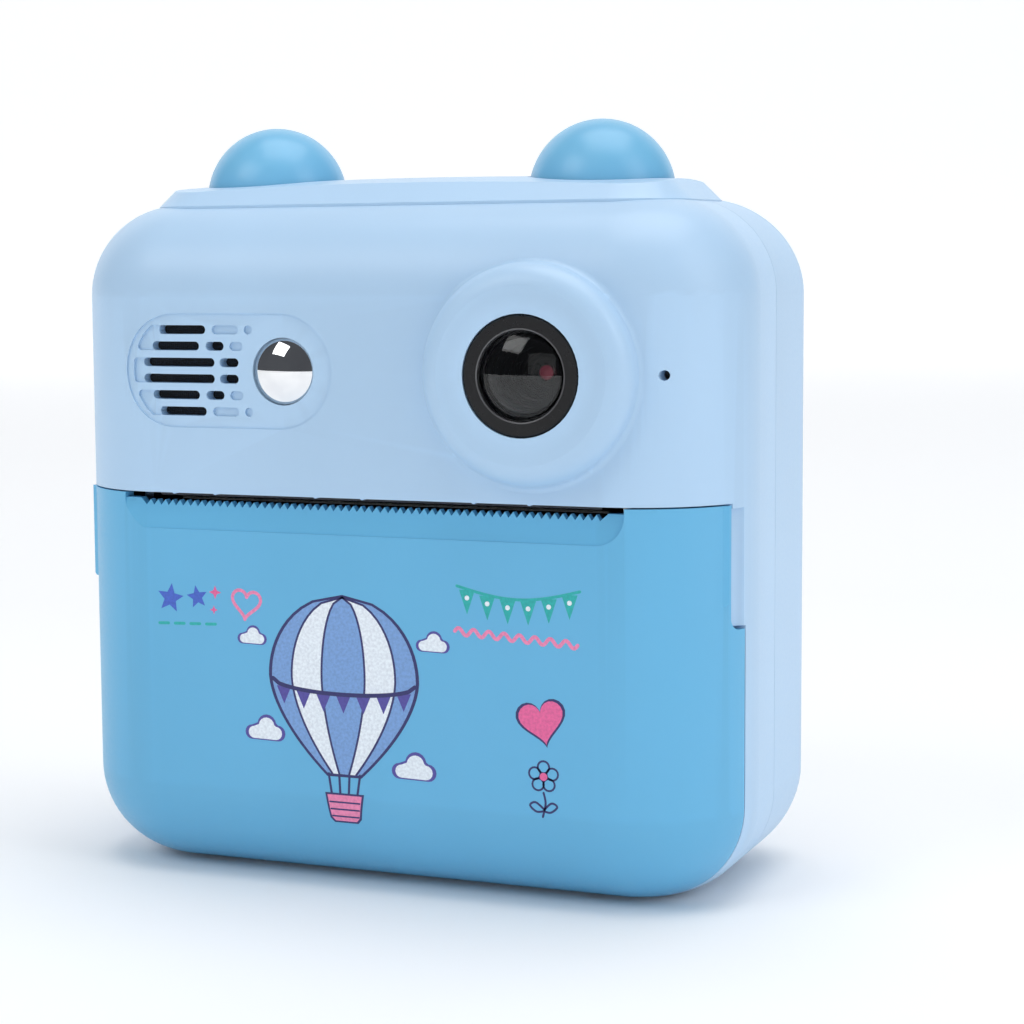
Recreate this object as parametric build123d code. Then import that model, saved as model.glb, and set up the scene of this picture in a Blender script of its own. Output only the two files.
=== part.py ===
from build123d import *

from functools import partial
import math
import os

# Instant-print toy camera for children, as an assembly of separate parts, in millimetres.
# X is to the right as seen from the front, Y from the front to the back, Z up. The lens looks along -Y.
# Heights are given from a datum plane 1.4 above the resting plane. Every part is raised by that
# much on export, so that the exported origin is on the resting plane, under the middle of the body.

# ---------------------------------------------------------------- driving dimensions: body
WIDTH = 88.0
DEPTH = 42.0
TOP_Z = 82.4
BASE_Z = -1.4
WALL = 2.0
TOP_ROUND = 11.5
BOTTOM_ROUND = 12.0
FRONT_ROUND = 15.0
BACK_ROUND = 8.0
SEAM_Y = 0.9
SEAM_GAP = 0.08
LIP_LENGTH = 1.5
LIP_GAP = 0.1
FRONT_Y = -DEPTH / 2
BACK_Y = DEPTH / 2
INNER_FRONT_Y = FRONT_Y + WALL
INNER_BACK_Y = BACK_Y - WALL
FAR = 60.0  # past every face of the body

# ---------------------------------------------------------------- paper door and its hinge
DOOR_TOP = 46.7
DOOR_BACK_Y = -10.2
DOOR_GAP = 0.2
BIN_FLANGE_Y = DOOR_BACK_Y + 0.4
BIN_WALL = 1.0
BIN_SIDE_GAP = 1.0
BIN_TOP_Z = 36.4
HINGE_R = 3.2
HINGE_Y = DOOR_BACK_Y - HINGE_R
HINGE_Z = BASE_Z + HINGE_R
HINGE_PIN_R = 0.8
PIN_DEPTH = 5.0
LUG_X = (24.3, 27.1)
LUG_R = 1.55
LUG_SIDE_GAP = 0.2
LUG_GAP = 0.1
LUG_BACK_Y = -6.0
LUG_FOOT_Y = -9.6
ARM_LOW_Z = HINGE_Z - 0.4
ARM_TOP_Z = HINGE_Z + 1.3
ARM_SWING = math.radians(66.0)  # how far below level the arm gets, seen from the door
SLOT_CENTRE_X = -0.85
SLOT_HALF = 32.9
SLOT_LEDGE_Z = 46.05
TEETH = 58
TOOTH_PITCH = 1.03
TOOTH_TIP_Z = 45.9
TOOTH_ROOT_Z = 45.2
SCOOP_BOTTOM_Z = 42.4
SCOOP_CORNER = 3.4
SCOOP_TOP_Y = FRONT_Y + 1.0
SCOOP_LOW_Y = FRONT_Y + 0.12
NOTCH_BOTTOM_Z = 32.0
NOTCH_FRONT_Y = -12.65
NOTCH_INNER_X = 38.0
NOTCH_CORNER = 1.4
GRIP_BOTTOM_Z = 35.0
GRIP_TIP = (42.45, -13.5)
FINGER_SCOOP_R = 2.15
RIB_PLACES = (-22.0, -7.5, 7.0, 21.0)
RIB_THICK = 1.0
RIB_HEIGHT = 0.9
RIB_Z = (9.0, 35.0)

# ---------------------------------------------------------------- front features
LENS_X = 20.8
LENS_Z = 62.0
BOSS_R = 13.0
BOSS_HEIGHT = 3.4
BEZEL_R = 7.1
BEZEL_FRONT_Y = FRONT_Y - BOSS_HEIGHT
BEZEL_BORE_R = 4.75
BEZEL_FLANGE_R = 8.6
BEZEL_FLANGE = 1.2
GLASS_R = 5.15
COVER_CURVE_R = 9.0
COVER_THICK = 1.0
ELEMENT_R = 1.72
ELEMENT_FRONT_Y = -16.1
ELEMENT_BACK_Y = -14.4
ELEMENT_CURVE_R = 3.0
HOLDER_FRONT_Y = -12.0
HOLDER_BACK_Y = -8.2
HOLDER_HALF = 6.0
SENSOR_BOARD_HALF = 7.0
MIRROR_X = -11.2
MIRROR_Z = 62.0
MIRROR_R = 4.0
MIRROR_CURVE_R = 6.5
MIRROR_GAP = 0.1
MIC_X = 36.35
MIC_Z = 62.0
MIC_R = 2.0
MIC_FRONT_Y = -14.9
GRILLE_X = -18.8
GRILLE_Z = 62.0
GRILLE_HALF_LENGTH = 14.2
GRILLE_HALF_HEIGHT = 7.0
GRILLE_DEPTH = 0.22
BLIND_DEPTH = 0.35
SPEAKER_X = -25.0
SPEAKER_RING_R = 6.4
CONE_THICK = 0.2
CLOTH_X = -23.95
CLOTH_SIZE = (15.6, 13.4)
SLOT_PITCH = 2.0
SLOT_HEIGHT = 1.1
CRESCENT_BAND = 6.6
NUB_PLACES = (-26.6, -20.9, -7.2, -1.0, 13.4, 20.4)
NUB_R = 0.35

# ---------------------------------------------------------------- top cover and ear buttons
PLATFORM_HALF = 35.4
PLATFORM_FRONT_Y = -13.0
PLATFORM_BACK_Y = 14.0
PLATFORM_CORNER = 8.0
PLATFORM_TOP = 85.5
PLATFORM_SLOPE = 4.3
CROWN_LONG_R = 700.0
CROWN_SHORT_R = 72.0
SPIGOT_HALF = 32.8
SPIGOT_Z = 79.8
SPIGOT_FRONT_Y = -11.0
SPIGOT_BACK_Y = 12.0
SPIGOT_WALL = 1.3
SPIGOT_CORNER = 6.0
SPIGOT_GAP = 0.15
OPENING_LOW_Z = 74.0
EAR_X = 22.2
EAR_Y = 0.5
EAR_R = 9.0
EAR_CENTRE_Z = 83.2
EAR_WALL = 1.5
EAR_TRAVEL = 1.2
EAR_FLANGE_R = 10.0
EAR_FLANGE_Z = 78.2
EAR_STEM_END_Z = 76.3
SWITCH_BOARD_Z = 72.0
SWITCH_BOARD_THICK = 1.0
SWITCH_BOARD_SIZE = (60.0, 13.0)
SHELF_X = (27.0, 29.5)

# ---------------------------------------------------------------- rear features
SCREEN_Z = 55.0
WINDOW_WIDTH = 54.0
WINDOW_HEIGHT = 39.0
WINDOW_CORNER = 2.5
VIEW_WIDTH = 49.0
VIEW_HEIGHT = 36.7
DISPLAY_BACK_Y = 17.8
DISPLAY_THICK = 2.4
KEY_FRONT_Y = 18.1
KEY_FLANGE = 0.8
KEY_TOP_Y = BACK_Y + 0.9
KEY_R = 3.6
KEY_GAP = 0.2
DOME_HEIGHT = 0.38
PAD_X = -21.0
PAD_Z = 20.0
PAD_R = 10.2
PAD_BORE_R = 4.6
PAD_SPLIT = 0.35
OK_R = 3.6
KEY_PLACES = {
    "power_key": (28.4, 26.0),
    "menu_key": (13.5, 26.0),
    "play_key": (28.4, 13.5),
    "delete_key": (13.5, 13.5),
}
PAD_DIRECTIONS = {"left_key": 0.0, "up_key": 90.0, "right_key": 180.0, "down_key": 270.0}

# ---------------------------------------------------------------- fasteners
SCREW_PLACES = [(-35.2, 9.5), (35.2, 9.5), (-36.3, 72.0), (36.3, 72.0)]
BOSS_OUTER_R = 3.2
BOSS_WEB = 1.6
SCREW_HEAD_R = 2.1
SCREW_SHANK_R = 1.1
SCREW_SEAT_Y = 9.0
SCREW_TIP_Y = -5.0

BOARD_POSTS = [(-33.2, 38.4), (33.2, 38.4), (-33.2, 50.4), (33.2, 63.5)]
KEYPAD_POSTS = [(-28.4, 7.5), (28.4, 7.5), (-3.5, 30.5)]
POST_R = 1.8
KEYPAD_POST_R = 1.3
BOARD_SCREW_R = 0.8

# ---------------------------------------------------------------- printer
PAPER_X = -0.8
PAPER_WIDTH = 57.0
PAPER_SPAN = (PAPER_X - PAPER_WIDTH / 2, PAPER_X + PAPER_WIDTH / 2)
ROLL_Y = -2.0
ROLL_Z = 18.6
ROLL_R = 15.0
CORE_R = 6.5
CORE_BORE_R = 5.5
PLATEN_Y = -14.0
PLATEN_Z = 41.2
PLATEN_R = 4.2
SHAFT_R = 1.5
BUSH_R = 2.5
WEB_THICK = 0.08
WEB_GAP = 0.02
NIP_ANGLE = 80.0
HEAD_THICK = 0.7
SINK_THICK = 1.6
HEAD_PIVOT_ALONG = -10.5
LEFT_PLATE_X = (-33.0, -31.8)
RIGHT_PLATE_X = (30.6, 31.8)
LEFT_ARM_X = (-31.4, -30.2)
RIGHT_ARM_X = (29.0, 30.2)
ARM_EYE_R = 3.4
TOP_BAR_Z = 52.0
PLATE_THICK = 1.2
MOTOR_R = 6.0
MOTOR_LENGTH = 12.0

# ---------------------------------------------------------------- gear train
PRESSURE_ANGLE = math.radians(25.0)
ADDENDUM = 0.9
DEDENDUM = 1.2
BACKLASH = 0.08
COARSE_MODULE = 0.4
FINE_MODULE = 0.3
PLATEN_TEETH = 20
IDLER_TEETH = 24
SMALL_TEETH = 12
LARGE_TEETH = 32
PINION_TEETH = 10
IDLER_ANGLE = 20.0
COMPOUND_ANGLE = 60.0
MOTOR_ANGLE = 0.0
COARSE_GEAR_X = (32.3, 34.3)
FINE_GEAR_X = (34.7, 36.1)
AXLE_R = 1.0
RUNNING_GAP = 0.04

# ---------------------------------------------------------------- electronics
BOARD_FRONT_Y = 12.0
BOARD_THICK = 1.2
KEYPAD_FRONT_Y = 16.0
KEYPAD_THICK = 1.0
USB_Y = BOARD_FRONT_Y - 1.65
USB_Z = 44.6
USB_SIZE = (8.9, 3.2)
CARD_Z = 59.0
CARD_LENGTH = 15.0
CARD_WIDTH = 11.0
CARD_END_X = -43.3
CARD_SOCKET_X = (-41.9, -24.4)
USB_X = (-42.4, -35.2)
MAIN_BOARD_X = (-38.0, 38.0)
MAIN_BOARD_Z = (36.0, 78.0)
BATTERY_X = (-32.6, 13.4)
BATTERY_Y = (3.3, 9.9)
BATTERY_Z = (54.2, 70.8)
CHIPS = [  # x, z, width, height, thickness
    (2.0, 64.0, 10.0, 10.0, 1.2),
    (-13.0, 70.0, 7.0, 5.0, 1.0),
    (14.0, 74.0, 5.0, 5.0, 0.9),
    (26.0, 62.0, 6.0, 4.0, 1.0),
    (-6.0, 54.0, 5.0, 4.0, 0.9),
    (26.5, 43.0, 8.0, 6.0, 1.1),
    (-16.0, 45.0, 6.0, 6.0, 1.2),
    (6.0, 43.0, 9.0, 4.0, 1.6),
]
STRAP_Y = 12.0
STRAP_Z = 71.0
STRAP_PIN_X = -42.4
STRAP_PIN_R = 0.9
STRAP_PIN_HALF = 4.5


# ================================================================ shape helpers
def from_front(sketch, y_front, y_back):
    """Solid between two depths from a sketch drawn as seen from the front."""
    return extrude(Plane.XZ.offset(-y_front) * sketch, amount=y_back - y_front, dir=(0, 1, 0))


def from_side(sketch, x_left, x_right):
    """Solid between two x values from a sketch with y to the right and z up."""
    return extrude(Plane.YZ.offset(x_left) * sketch, amount=x_right - x_left)


def from_top(sketch, z_low, z_high):
    """Solid between two heights from a sketch with x to the right and y up."""
    return extrude(Plane.XY.offset(z_low) * sketch, amount=z_high - z_low)


def disc_y(x, z, radius, y_front, y_back):
    return from_front(Pos(x, z) * Circle(radius), y_front, y_back)


def disc_x(y, z, radius, x_left, x_right):
    return from_side(Pos(y, z) * Circle(radius), x_left, x_right)


def disc_z(x, y, radius, z_low, z_high):
    return from_top(Pos(x, y) * Circle(radius), z_low, z_high)


def block(x, y, z):
    """Box from three (low, high) pairs."""
    centre = [(low + high) / 2 for low, high in (x, y, z)]
    return Pos(*centre) * Box(x[1] - x[0], y[1] - y[0], z[1] - z[0])


def polygon(*points):
    return make_face(Polyline(*points, close=True))


def turned(points, x, z):
    """Solid of revolution about a line along Y through (x, z). Points are (radius, y)."""
    return Pos(x, 0, z) * revolve(polygon(*points), Axis.Y)


def spring(x, y, z_low, z_high, coil_r, wire_r, turns):
    """Compression spring standing along Z."""
    height = z_high - z_low - 2 * wire_r
    path = Helix(pitch=height / turns, height=height, radius=coil_r)
    wire = sweep(Plane(path @ 0, z_dir=path % 0) * Circle(wire_r), path=path)
    return Pos(x, y, z_low + wire_r) * wire


def ball(x, y, z, radius):
    return Pos(x, y, z) * Sphere(radius)


# ================================================================ body envelope
def front_outline(inset=0.0):
    """Outline of the body's middle, as seen from the front, moved in by inset."""
    box = Pos(0, (TOP_Z + BASE_Z) / 2) * Rectangle(WIDTH - 2 * inset, TOP_Z - BASE_Z - 2 * inset)
    box = fillet(box.vertices().group_by(Axis.Y)[-1], TOP_ROUND - inset)
    return fillet(box.vertices().group_by(Axis.Y)[0], BOTTOM_ROUND - inset)


def body_form(inset=0.0):
    """Solid pillow shape of the body, moved in by inset on every side."""
    half_x, half_y = WIDTH / 2 - inset, DEPTH / 2 - inset
    form = block((-half_x, half_x), (-half_y, half_y), (BASE_Z + inset, TOP_Z - inset))
    form = fillet(form.edges().filter_by(Axis.Z).group_by(Axis.Y)[0], FRONT_ROUND - inset)
    form = fillet(form.edges().filter_by(Axis.Z).group_by(Axis.Y)[-1], BACK_ROUND - inset)
    form = fillet(form.faces().sort_by(Axis.Z)[-1].edges(), TOP_ROUND - inset)
    return fillet(form.faces().sort_by(Axis.Z)[0].edges(), BOTTOM_ROUND - inset)


def door_space(gap=0.0):
    """Everything in front of the door's parting surface. The lower edge is round about the hinge."""
    back_y, top_z = DOOR_BACK_Y + gap, DOOR_TOP + gap
    above = polygon((-FAR, HINGE_Z), (back_y, HINGE_Z), (back_y, top_z), (-FAR, top_z))
    below = polygon((-FAR, -FAR), (HINGE_Y, -FAR), (HINGE_Y, HINGE_Z), (-FAR, HINGE_Z))
    barrel = Pos(HINGE_Y, HINGE_Z) * Circle(HINGE_R + gap)
    return from_side(above + below + barrel, -FAR, FAR)


def both_sides(near, far):
    """The x ranges between two distances from the middle, left and right."""
    return [(-far, -near), (near, far)]


def finger_notch(gap=0.0):
    """Space beside the door's upper edge, where fingers reach behind the door."""
    front_y, bottom = NOTCH_FRONT_Y + gap, NOTCH_BOTTOM_Z + 2 * gap
    depth, height = -front_y, DOOR_TOP + 2 * NOTCH_CORNER - bottom
    outline = Pos(front_y / 2, bottom + height / 2) * RectangleRounded(depth, height, NOTCH_CORNER)
    left, right = [from_side(outline, *x) for x in both_sides(NOTCH_INNER_X, FAR)]
    return left + right


# ================================================================ front shell
def lens_boss():
    """Raised ring round the lens, with a round crest."""
    flank_end = (BOSS_R, FRONT_Y - 0.6)
    shoulder = (BOSS_R - 0.75, FRONT_Y - 2.65)
    crest = (BOSS_R - 2.6, BEZEL_FRONT_Y - 0.2)
    profile = (
        Polyline((0, INNER_FRONT_Y), (BOSS_R, INNER_FRONT_Y), flank_end)
        + ThreePointArc(flank_end, shoulder, crest)
        + Polyline(crest, (0, BEZEL_FRONT_Y + 0.35), (0, INNER_FRONT_Y))
    )
    return Pos(LENS_X, 0, LENS_Z) * revolve(make_face(profile), Axis.Y)


def on_boss_root(edge):
    """True for an edge where the lens ring meets the front wall."""
    point = edge.position_at(0.3)
    reach = math.hypot(point.X - LENS_X, point.Z - LENS_Z)
    return abs(reach - BOSS_R) < 0.01 and FRONT_Y - 0.1 < edge.center().Y < INNER_FRONT_Y + 0.1


def grille_slot(x_left, x_right, row):
    """Round-ended bar of one grille row, drawn as seen from the front."""
    z = GRILLE_Z + row * SLOT_PITCH
    length = max(x_right - x_left, SLOT_HEIGHT + 0.01)
    return Pos((x_left + x_right) / 2, z) * SlotOverall(length, SLOT_HEIGHT)


def grille_cuts():
    """Through slots, blind slots and the three crescents at the slots' left ends."""
    # Offsets of each row from the grille's middle: (through slots, blind slots).
    rows = {
        2.5: ([(-28.3, -21.7)], [(-20.8, -17.2), (-16.4, -15.3)]),
        1.5: ([(-29.3, -22.6), (-21.7, -19.2)], [(-18.4, -16.6)]),
        0.5: ([(-30.6, -20.5), (-19.8, -17.2)], []),
    }
    through, blind = [], []
    for row, (open_bars, shut_bars) in rows.items():
        for side in (-1, 1):
            through += [grille_slot(*bar, side * row) for bar in open_bars]
            blind += [grille_slot(*bar, side * row) for bar in shut_bars]
    ring = Pos(SPEAKER_X, GRILLE_Z) * Circle(SPEAKER_RING_R + 0.6)
    for row in (-2, 0, 2):
        z = GRILLE_Z + row * SLOT_PITCH
        band = Pos(SPEAKER_X - SPEAKER_RING_R, z) * Rectangle(CRESCENT_BAND, SLOT_PITCH + SLOT_HEIGHT)
        blind.append(fillet((band & ring).vertices().sort_by(Axis.X)[:2], 0.5))
    under_skin = body_form(GRILLE_DEPTH + BLIND_DEPTH)
    panel = Pos(GRILLE_X, GRILLE_Z) * SlotOverall(2 * GRILLE_HALF_LENGTH, 2 * GRILLE_HALF_HEIGHT)
    cuts = [from_front(bar, FRONT_Y - 1, INNER_FRONT_Y + 1) for bar in through]
    cuts += [from_front(bar, FRONT_Y - 1, INNER_FRONT_Y) - under_skin for bar in blind]
    return cuts + [from_front(panel, FRONT_Y - 1, INNER_FRONT_Y) - body_form(GRILLE_DEPTH)]


def paper_nubs():
    """Small rib ends under the upper front wall, which hold the paper off the edge."""
    z = DOOR_TOP + DOOR_GAP + 0.15
    return [disc_y(x, z, NUB_R, FRONT_Y + 0.5, INNER_FRONT_Y) for x in NUB_PLACES]


def finger_scoops():
    """Hollows in the shell's sides beside the finger notches."""
    x, y = WIDTH / 2 + 0.1, NOTCH_FRONT_Y + 0.25
    return [disc_z(side * x, y, FINGER_SCOOP_R, NOTCH_BOTTOM_Z, DOOR_TOP - 0.4) for side in (-1, 1)]


def spigot_outline(growth=0.0):
    """Rounded rectangle of the top cover's spigot, seen from above and grown on every side."""
    width, depth = 2 * (SPIGOT_HALF + growth), SPIGOT_BACK_Y - SPIGOT_FRONT_Y + 2 * growth
    middle = Pos(0, (SPIGOT_BACK_Y + SPIGOT_FRONT_Y) / 2)
    return middle * RectangleRounded(width, depth, SPIGOT_CORNER + growth)


def top_opening():
    """Opening in the shells' tops for the top cover's spigot."""
    return from_top(spigot_outline(SPIGOT_GAP), OPENING_LOW_Z, FAR * 2)


def screw_boss(x, z, y_front, y_back, web_to):
    """Post for a shell screw, tied to the wall by a web towards web_to."""
    post = disc_y(x, z, BOSS_OUTER_R, y_front, y_back)
    slope = math.degrees(math.atan2(web_to[1] - z, web_to[0] - x))
    middle = Pos((x + web_to[0]) / 2, (z + web_to[1]) / 2)
    web = middle * Rot(0, 0, slope) * Rectangle(math.dist((x, z), web_to), BOSS_WEB)
    return post + from_front(web, y_front, y_back)


def wall_point(x, z):
    """A point inside the wall, outwards of a shell screw."""
    return (x + math.copysign(9.0, x), z + (5.0 if z > DOOR_TOP else -5.0))


def hinge_lugs():
    """Two arms of the front shell, which reach into the door's lower edge and carry the hinge pins."""
    arm = polygon(
        (HINGE_Y, ARM_LOW_Z), (LUG_FOOT_Y, ARM_LOW_Z), (LUG_FOOT_Y, BASE_Z), (LUG_BACK_Y, BASE_Z),
        (LUG_BACK_Y, HINGE_Z), (LUG_FOOT_Y, ARM_TOP_Z), (HINGE_Y, ARM_TOP_Z))
    lugs = []
    for x in both_sides(*LUG_X):
        lug = from_side(arm, *x) + disc_x(HINGE_Y, HINGE_Z, LUG_R, *x)
        lugs.append(lug - disc_x(HINGE_Y, HINGE_Z, HINGE_PIN_R + 0.05, *x))
    return lugs


def lug_recesses():
    """Room in the door for the arms to swing. The door's outer skin stays whole in front of them."""
    reach = 3 * HINGE_R
    low = (HINGE_Y + reach * math.cos(ARM_SWING), HINGE_Z - reach * math.sin(ARM_SWING))
    swing = polygon((HINGE_Y, HINGE_Z), low, (HINGE_Y + reach, HINGE_Z), (HINGE_Y + reach, HINGE_Z + reach),
                    (HINGE_Y, HINGE_Z + reach))
    room = swing + Pos(HINGE_Y, HINGE_Z) * Circle(LUG_R + LUG_GAP)
    return [from_side(room, *x) for x in both_sides(LUG_X[0] - LUG_SIDE_GAP, LUG_X[1] + LUG_SIDE_GAP)]


def switch_board_shelves():
    """Two ledges under the ends of the ear switch board."""
    top = SWITCH_BOARD_Z - 0.02
    return [block(x, (INNER_FRONT_Y - 0.5, 0.5), (top - 1.4, top)) for x in both_sides(*SHELF_X)]


def front_shell():
    skin = (body_form() - body_form(WALL)) & block((-FAR, FAR), (-FAR, SEAM_Y), (-FAR, FAR * 2))
    tabs = (skin & finger_notch(DOOR_GAP) & door_space(DOOR_GAP + 0.5)) - finger_scoops()
    shell = skin - door_space(DOOR_GAP) + tabs
    lip_room = (SEAM_Y - LIP_LENGTH - LIP_GAP, FAR)
    shell -= from_front(front_outline(WALL / 2), *lip_room)
    shell += lens_boss()
    shell = fillet(shell.edges().filter_by(on_boss_root), 0.8)
    shell += paper_nubs()
    for x, z in SCREW_PLACES:
        y_front = INNER_FRONT_Y - 0.5 if z > DOOR_TOP else BIN_FLANGE_Y + 1.2
        post = screw_boss(x, z, y_front, SEAM_Y - 0.2, wall_point(x, z)) & body_form(WALL / 2 + LIP_GAP)
        shell += post - from_front(front_outline(WALL / 2) - front_outline(WALL + 0.2), *lip_room)
        shell -= disc_y(x, z, SCREW_SHANK_R, SCREW_TIP_Y - 0.5, FAR)
    shell += [lug & body_form() for lug in hinge_lugs()]
    shell += switch_board_shelves()
    shell -= grille_cuts()
    shell -= disc_y(LENS_X, LENS_Z, BEZEL_R + 0.05, -FAR, 0)
    shell -= disc_y(MIRROR_X, MIRROR_Z, MIRROR_R + MIRROR_GAP, -FAR, 0)
    shell -= disc_y(MIC_X, MIC_Z, 0.6, -FAR, 0)
    shell -= top_opening()
    return shell


# ================================================================ rear shell
def pad_key_outline(angle, gap):
    """One quarter of the ring-shaped direction pad."""
    ring = Circle(PAD_R + gap) - Circle(PAD_BORE_R - gap)
    point = (PAD_SPLIT - gap) * math.sqrt(2)
    reach = point + PAD_R * 2
    quarter = ring & polygon((point, 0), (reach, -PAD_R * 2), (reach, PAD_R * 2))
    return Pos(PAD_X, PAD_Z) * Rot(0, 0, angle) * quarter


def key_outlines(gap=0.0):
    """Name to outline of every rear key, as seen from the front, grown by gap."""
    outlines = {name: Pos(*place) * Circle(KEY_R + gap) for name, place in KEY_PLACES.items()}
    outlines["ok_key"] = Pos(PAD_X, PAD_Z) * Circle(OK_R + gap)
    for name, angle in PAD_DIRECTIONS.items():
        outlines[name] = pad_key_outline(angle, gap)
    return outlines


def side_opening(outline, y, z):
    """Opening through the left side wall."""
    return from_side(Pos(y, z) * outline, -FAR, -WIDTH / 2 + WALL + 0.5)


def rear_opening(width, height, corner, y_front):
    """Rectangular opening for the screen, from a depth out through the rear wall."""
    return from_front(Pos(0, SCREEN_Z) * RectangleRounded(width, height, corner), y_front, FAR)


def rear_shell():
    skin = body_form() - body_form(WALL)
    shell = skin & block((-FAR, FAR), (SEAM_Y + SEAM_GAP, FAR), (-FAR, FAR * 2))
    lip_ring = front_outline(WALL / 2 + LIP_GAP) - front_outline(WALL + 0.1)
    shell += from_front(lip_ring, SEAM_Y - LIP_LENGTH, SEAM_Y + 3.0)
    wall_y = INNER_BACK_Y + 0.5
    for x, z in SCREW_PLACES:
        shell += screw_boss(x, z, SEAM_Y, wall_y, wall_point(x, z)) & body_form(WALL / 2 + LIP_GAP)
    board_back_y, keypad_back_y = BOARD_FRONT_Y + BOARD_THICK, KEYPAD_FRONT_Y + KEYPAD_THICK
    shell += [disc_y(x, z, POST_R, board_back_y + 0.02, wall_y) for x, z in BOARD_POSTS]
    shell += [disc_y(x, z, KEYPAD_POST_R, keypad_back_y + 0.02, wall_y) for x, z in KEYPAD_POSTS]
    strap_block = block((-WIDTH / 2, -38.2), (STRAP_Y - 5.5, STRAP_Y + 5.5), (STRAP_Z - 5.0, STRAP_Z + 5.0))
    shell += strap_block & body_form()
    for x, z in SCREW_PLACES:
        shell -= disc_y(x, z, SCREW_HEAD_R + 0.2, SCREW_SEAT_Y, FAR)
        shell -= disc_y(x, z, SCREW_SHANK_R + 0.15, 0, SCREW_SEAT_Y)
    shell -= block((-FAR, -40.2), (STRAP_Y - 3.5, STRAP_Y + 3.5), (STRAP_Z - 3.0, STRAP_Z + 3.0))
    shell -= strap_pin()
    shell -= rear_opening(WINDOW_WIDTH + 0.2, WINDOW_HEIGHT + 0.2, WINDOW_CORNER + 0.1, BACK_Y - 1.1)
    shell -= rear_opening(VIEW_WIDTH + 1, VIEW_HEIGHT + 1, 1.0, 0)
    shell -= [from_front(outline, 0, FAR) for outline in key_outlines(KEY_GAP).values()]
    shell -= side_opening(SlotOverall(9.4, 3.6).rotate(Axis.Z, 90), USB_Y, USB_Z)
    shell -= side_opening(Rectangle(1.5, CARD_WIDTH + 0.6), BOARD_FRONT_Y - 0.9, CARD_Z)
    shell -= [disc_y(x, z, BOARD_SCREW_R, 0, BOARD_FRONT_Y + 5.5) for x, z in BOARD_POSTS]
    shell -= top_opening()
    return shell


# ================================================================ paper door
def teeth_outline():
    """Saw-tooth gap above the tear edge, drawn as seen from the front."""
    left = SLOT_CENTRE_X - TEETH * TOOTH_PITCH / 2
    points = [(left - 1.0, TOOTH_TIP_Z + 5), (left - 0.9, SLOT_LEDGE_Z)]
    for i in range(TEETH):
        points.append((left + i * TOOTH_PITCH, TOOTH_ROOT_Z))
        points.append((left + (i + 0.5) * TOOTH_PITCH, TOOTH_TIP_Z))
    right = left + TEETH * TOOTH_PITCH
    points += [(right, TOOTH_ROOT_Z), (right + 0.9, SLOT_LEDGE_Z), (right + 1.0, TOOTH_TIP_Z + 5)]
    return polygon(*points)


def tear_scoop():
    """Sloped hollow below the tear edge, for a thumb under the paper."""
    low = SCOOP_BOTTOM_Z
    outline = Pos(SLOT_CENTRE_X, low + 5) * RectangleRounded(2 * SLOT_HALF, 10, SCOOP_CORNER)
    foot, head = (SCOOP_LOW_Y, low), (SCOOP_TOP_Y, SLOT_LEDGE_Z)
    slope = polygon((-FAR, low), foot, head, (SCOOP_TOP_Y, FAR), (-FAR, FAR))
    return from_front(outline, -FAR, 0) & from_side(slope, -FAR, FAR)


def side_grips():
    """Flared lips on the door's sides, which fingers pull on."""
    tip_x, tip_y = GRIP_TIP
    root = (tip_x - 1.9, tip_y - 1.8)
    flank = ThreePointArc(root, (tip_x - 1.12, tip_y - 0.7), GRIP_TIP)
    heel = (tip_x - 0.15, tip_y + 0.5)
    rest = Polyline(GRIP_TIP, heel, (tip_x - 1.5, NOTCH_FRONT_Y), (tip_x - 2.5, tip_y - 1.0), root)
    lip = from_top(make_face(flank + rest), GRIP_BOTTOM_Z, DOOR_TOP)
    lower = lip.edges().group_by(Axis.Z)[0].sort_by(Axis.X)[-1]
    lip = chamfer(lower, 0.3)
    return [lip, mirror(lip, Plane.YZ)]


def platen_arms():
    """Inner arms of the door, which carry the platen's bushes."""
    root_y = INNER_FRONT_Y - 0.5
    low, high = PLATEN_Z - ARM_EYE_R, PLATEN_Z + ARM_EYE_R
    outline = polygon((root_y, low - 0.3), (PLATEN_Y, low), (PLATEN_Y, high), (root_y, high))
    arms = []
    for x in (LEFT_ARM_X, RIGHT_ARM_X):
        arm = from_side(outline, *x) + disc_x(PLATEN_Y, PLATEN_Z, ARM_EYE_R, *x)
        arms.append(arm - disc_x(PLATEN_Y, PLATEN_Z, BUSH_R, *x))
    return arms


def door_ribs():
    """Stiffening ribs inside the door, clear of the paper roll."""
    y = (INNER_FRONT_Y - 0.5, INNER_FRONT_Y + RIB_HEIGHT)
    return [block((x - RIB_THICK / 2, x + RIB_THICK / 2), y, RIB_Z) for x in RIB_PLACES]


def paper_door():
    door = (body_form() - body_form(WALL)) & door_space()
    barrel_end = LUG_X[1] + LUG_SIDE_GAP
    door += disc_x(HINGE_Y, HINGE_Z, HINGE_R, -barrel_end, barrel_end) & body_form()
    door -= finger_notch()
    door += side_grips()
    door += platen_arms()
    door += door_ribs()
    gear_room_r = COARSE_MODULE * PLATEN_TEETH / 2 + 0.8
    door -= disc_x(PLATEN_Y, PLATEN_Z, gear_room_r, COARSE_GEAR_X[0] - 0.3, COARSE_GEAR_X[1] + 0.8)
    door -= tear_scoop()
    slot = Pos(SLOT_CENTRE_X, SLOT_LEDGE_Z + 2.5) * Rectangle(2 * SLOT_HALF, 5)
    door -= from_front(slot, -FAR, PLATEN_Y)
    door -= from_front(teeth_outline(), -FAR, PLATEN_Y)
    door -= lug_recesses()
    return door - hinge_pins()


def hinge_pins():
    """Two short pins, pressed into the door on the middle's side of each arm."""
    spans = both_sides(LUG_X[0] - PIN_DEPTH, LUG_X[1])
    return Compound([disc_x(HINGE_Y, HINGE_Z, HINGE_PIN_R, *span) for span in spans])


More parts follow.
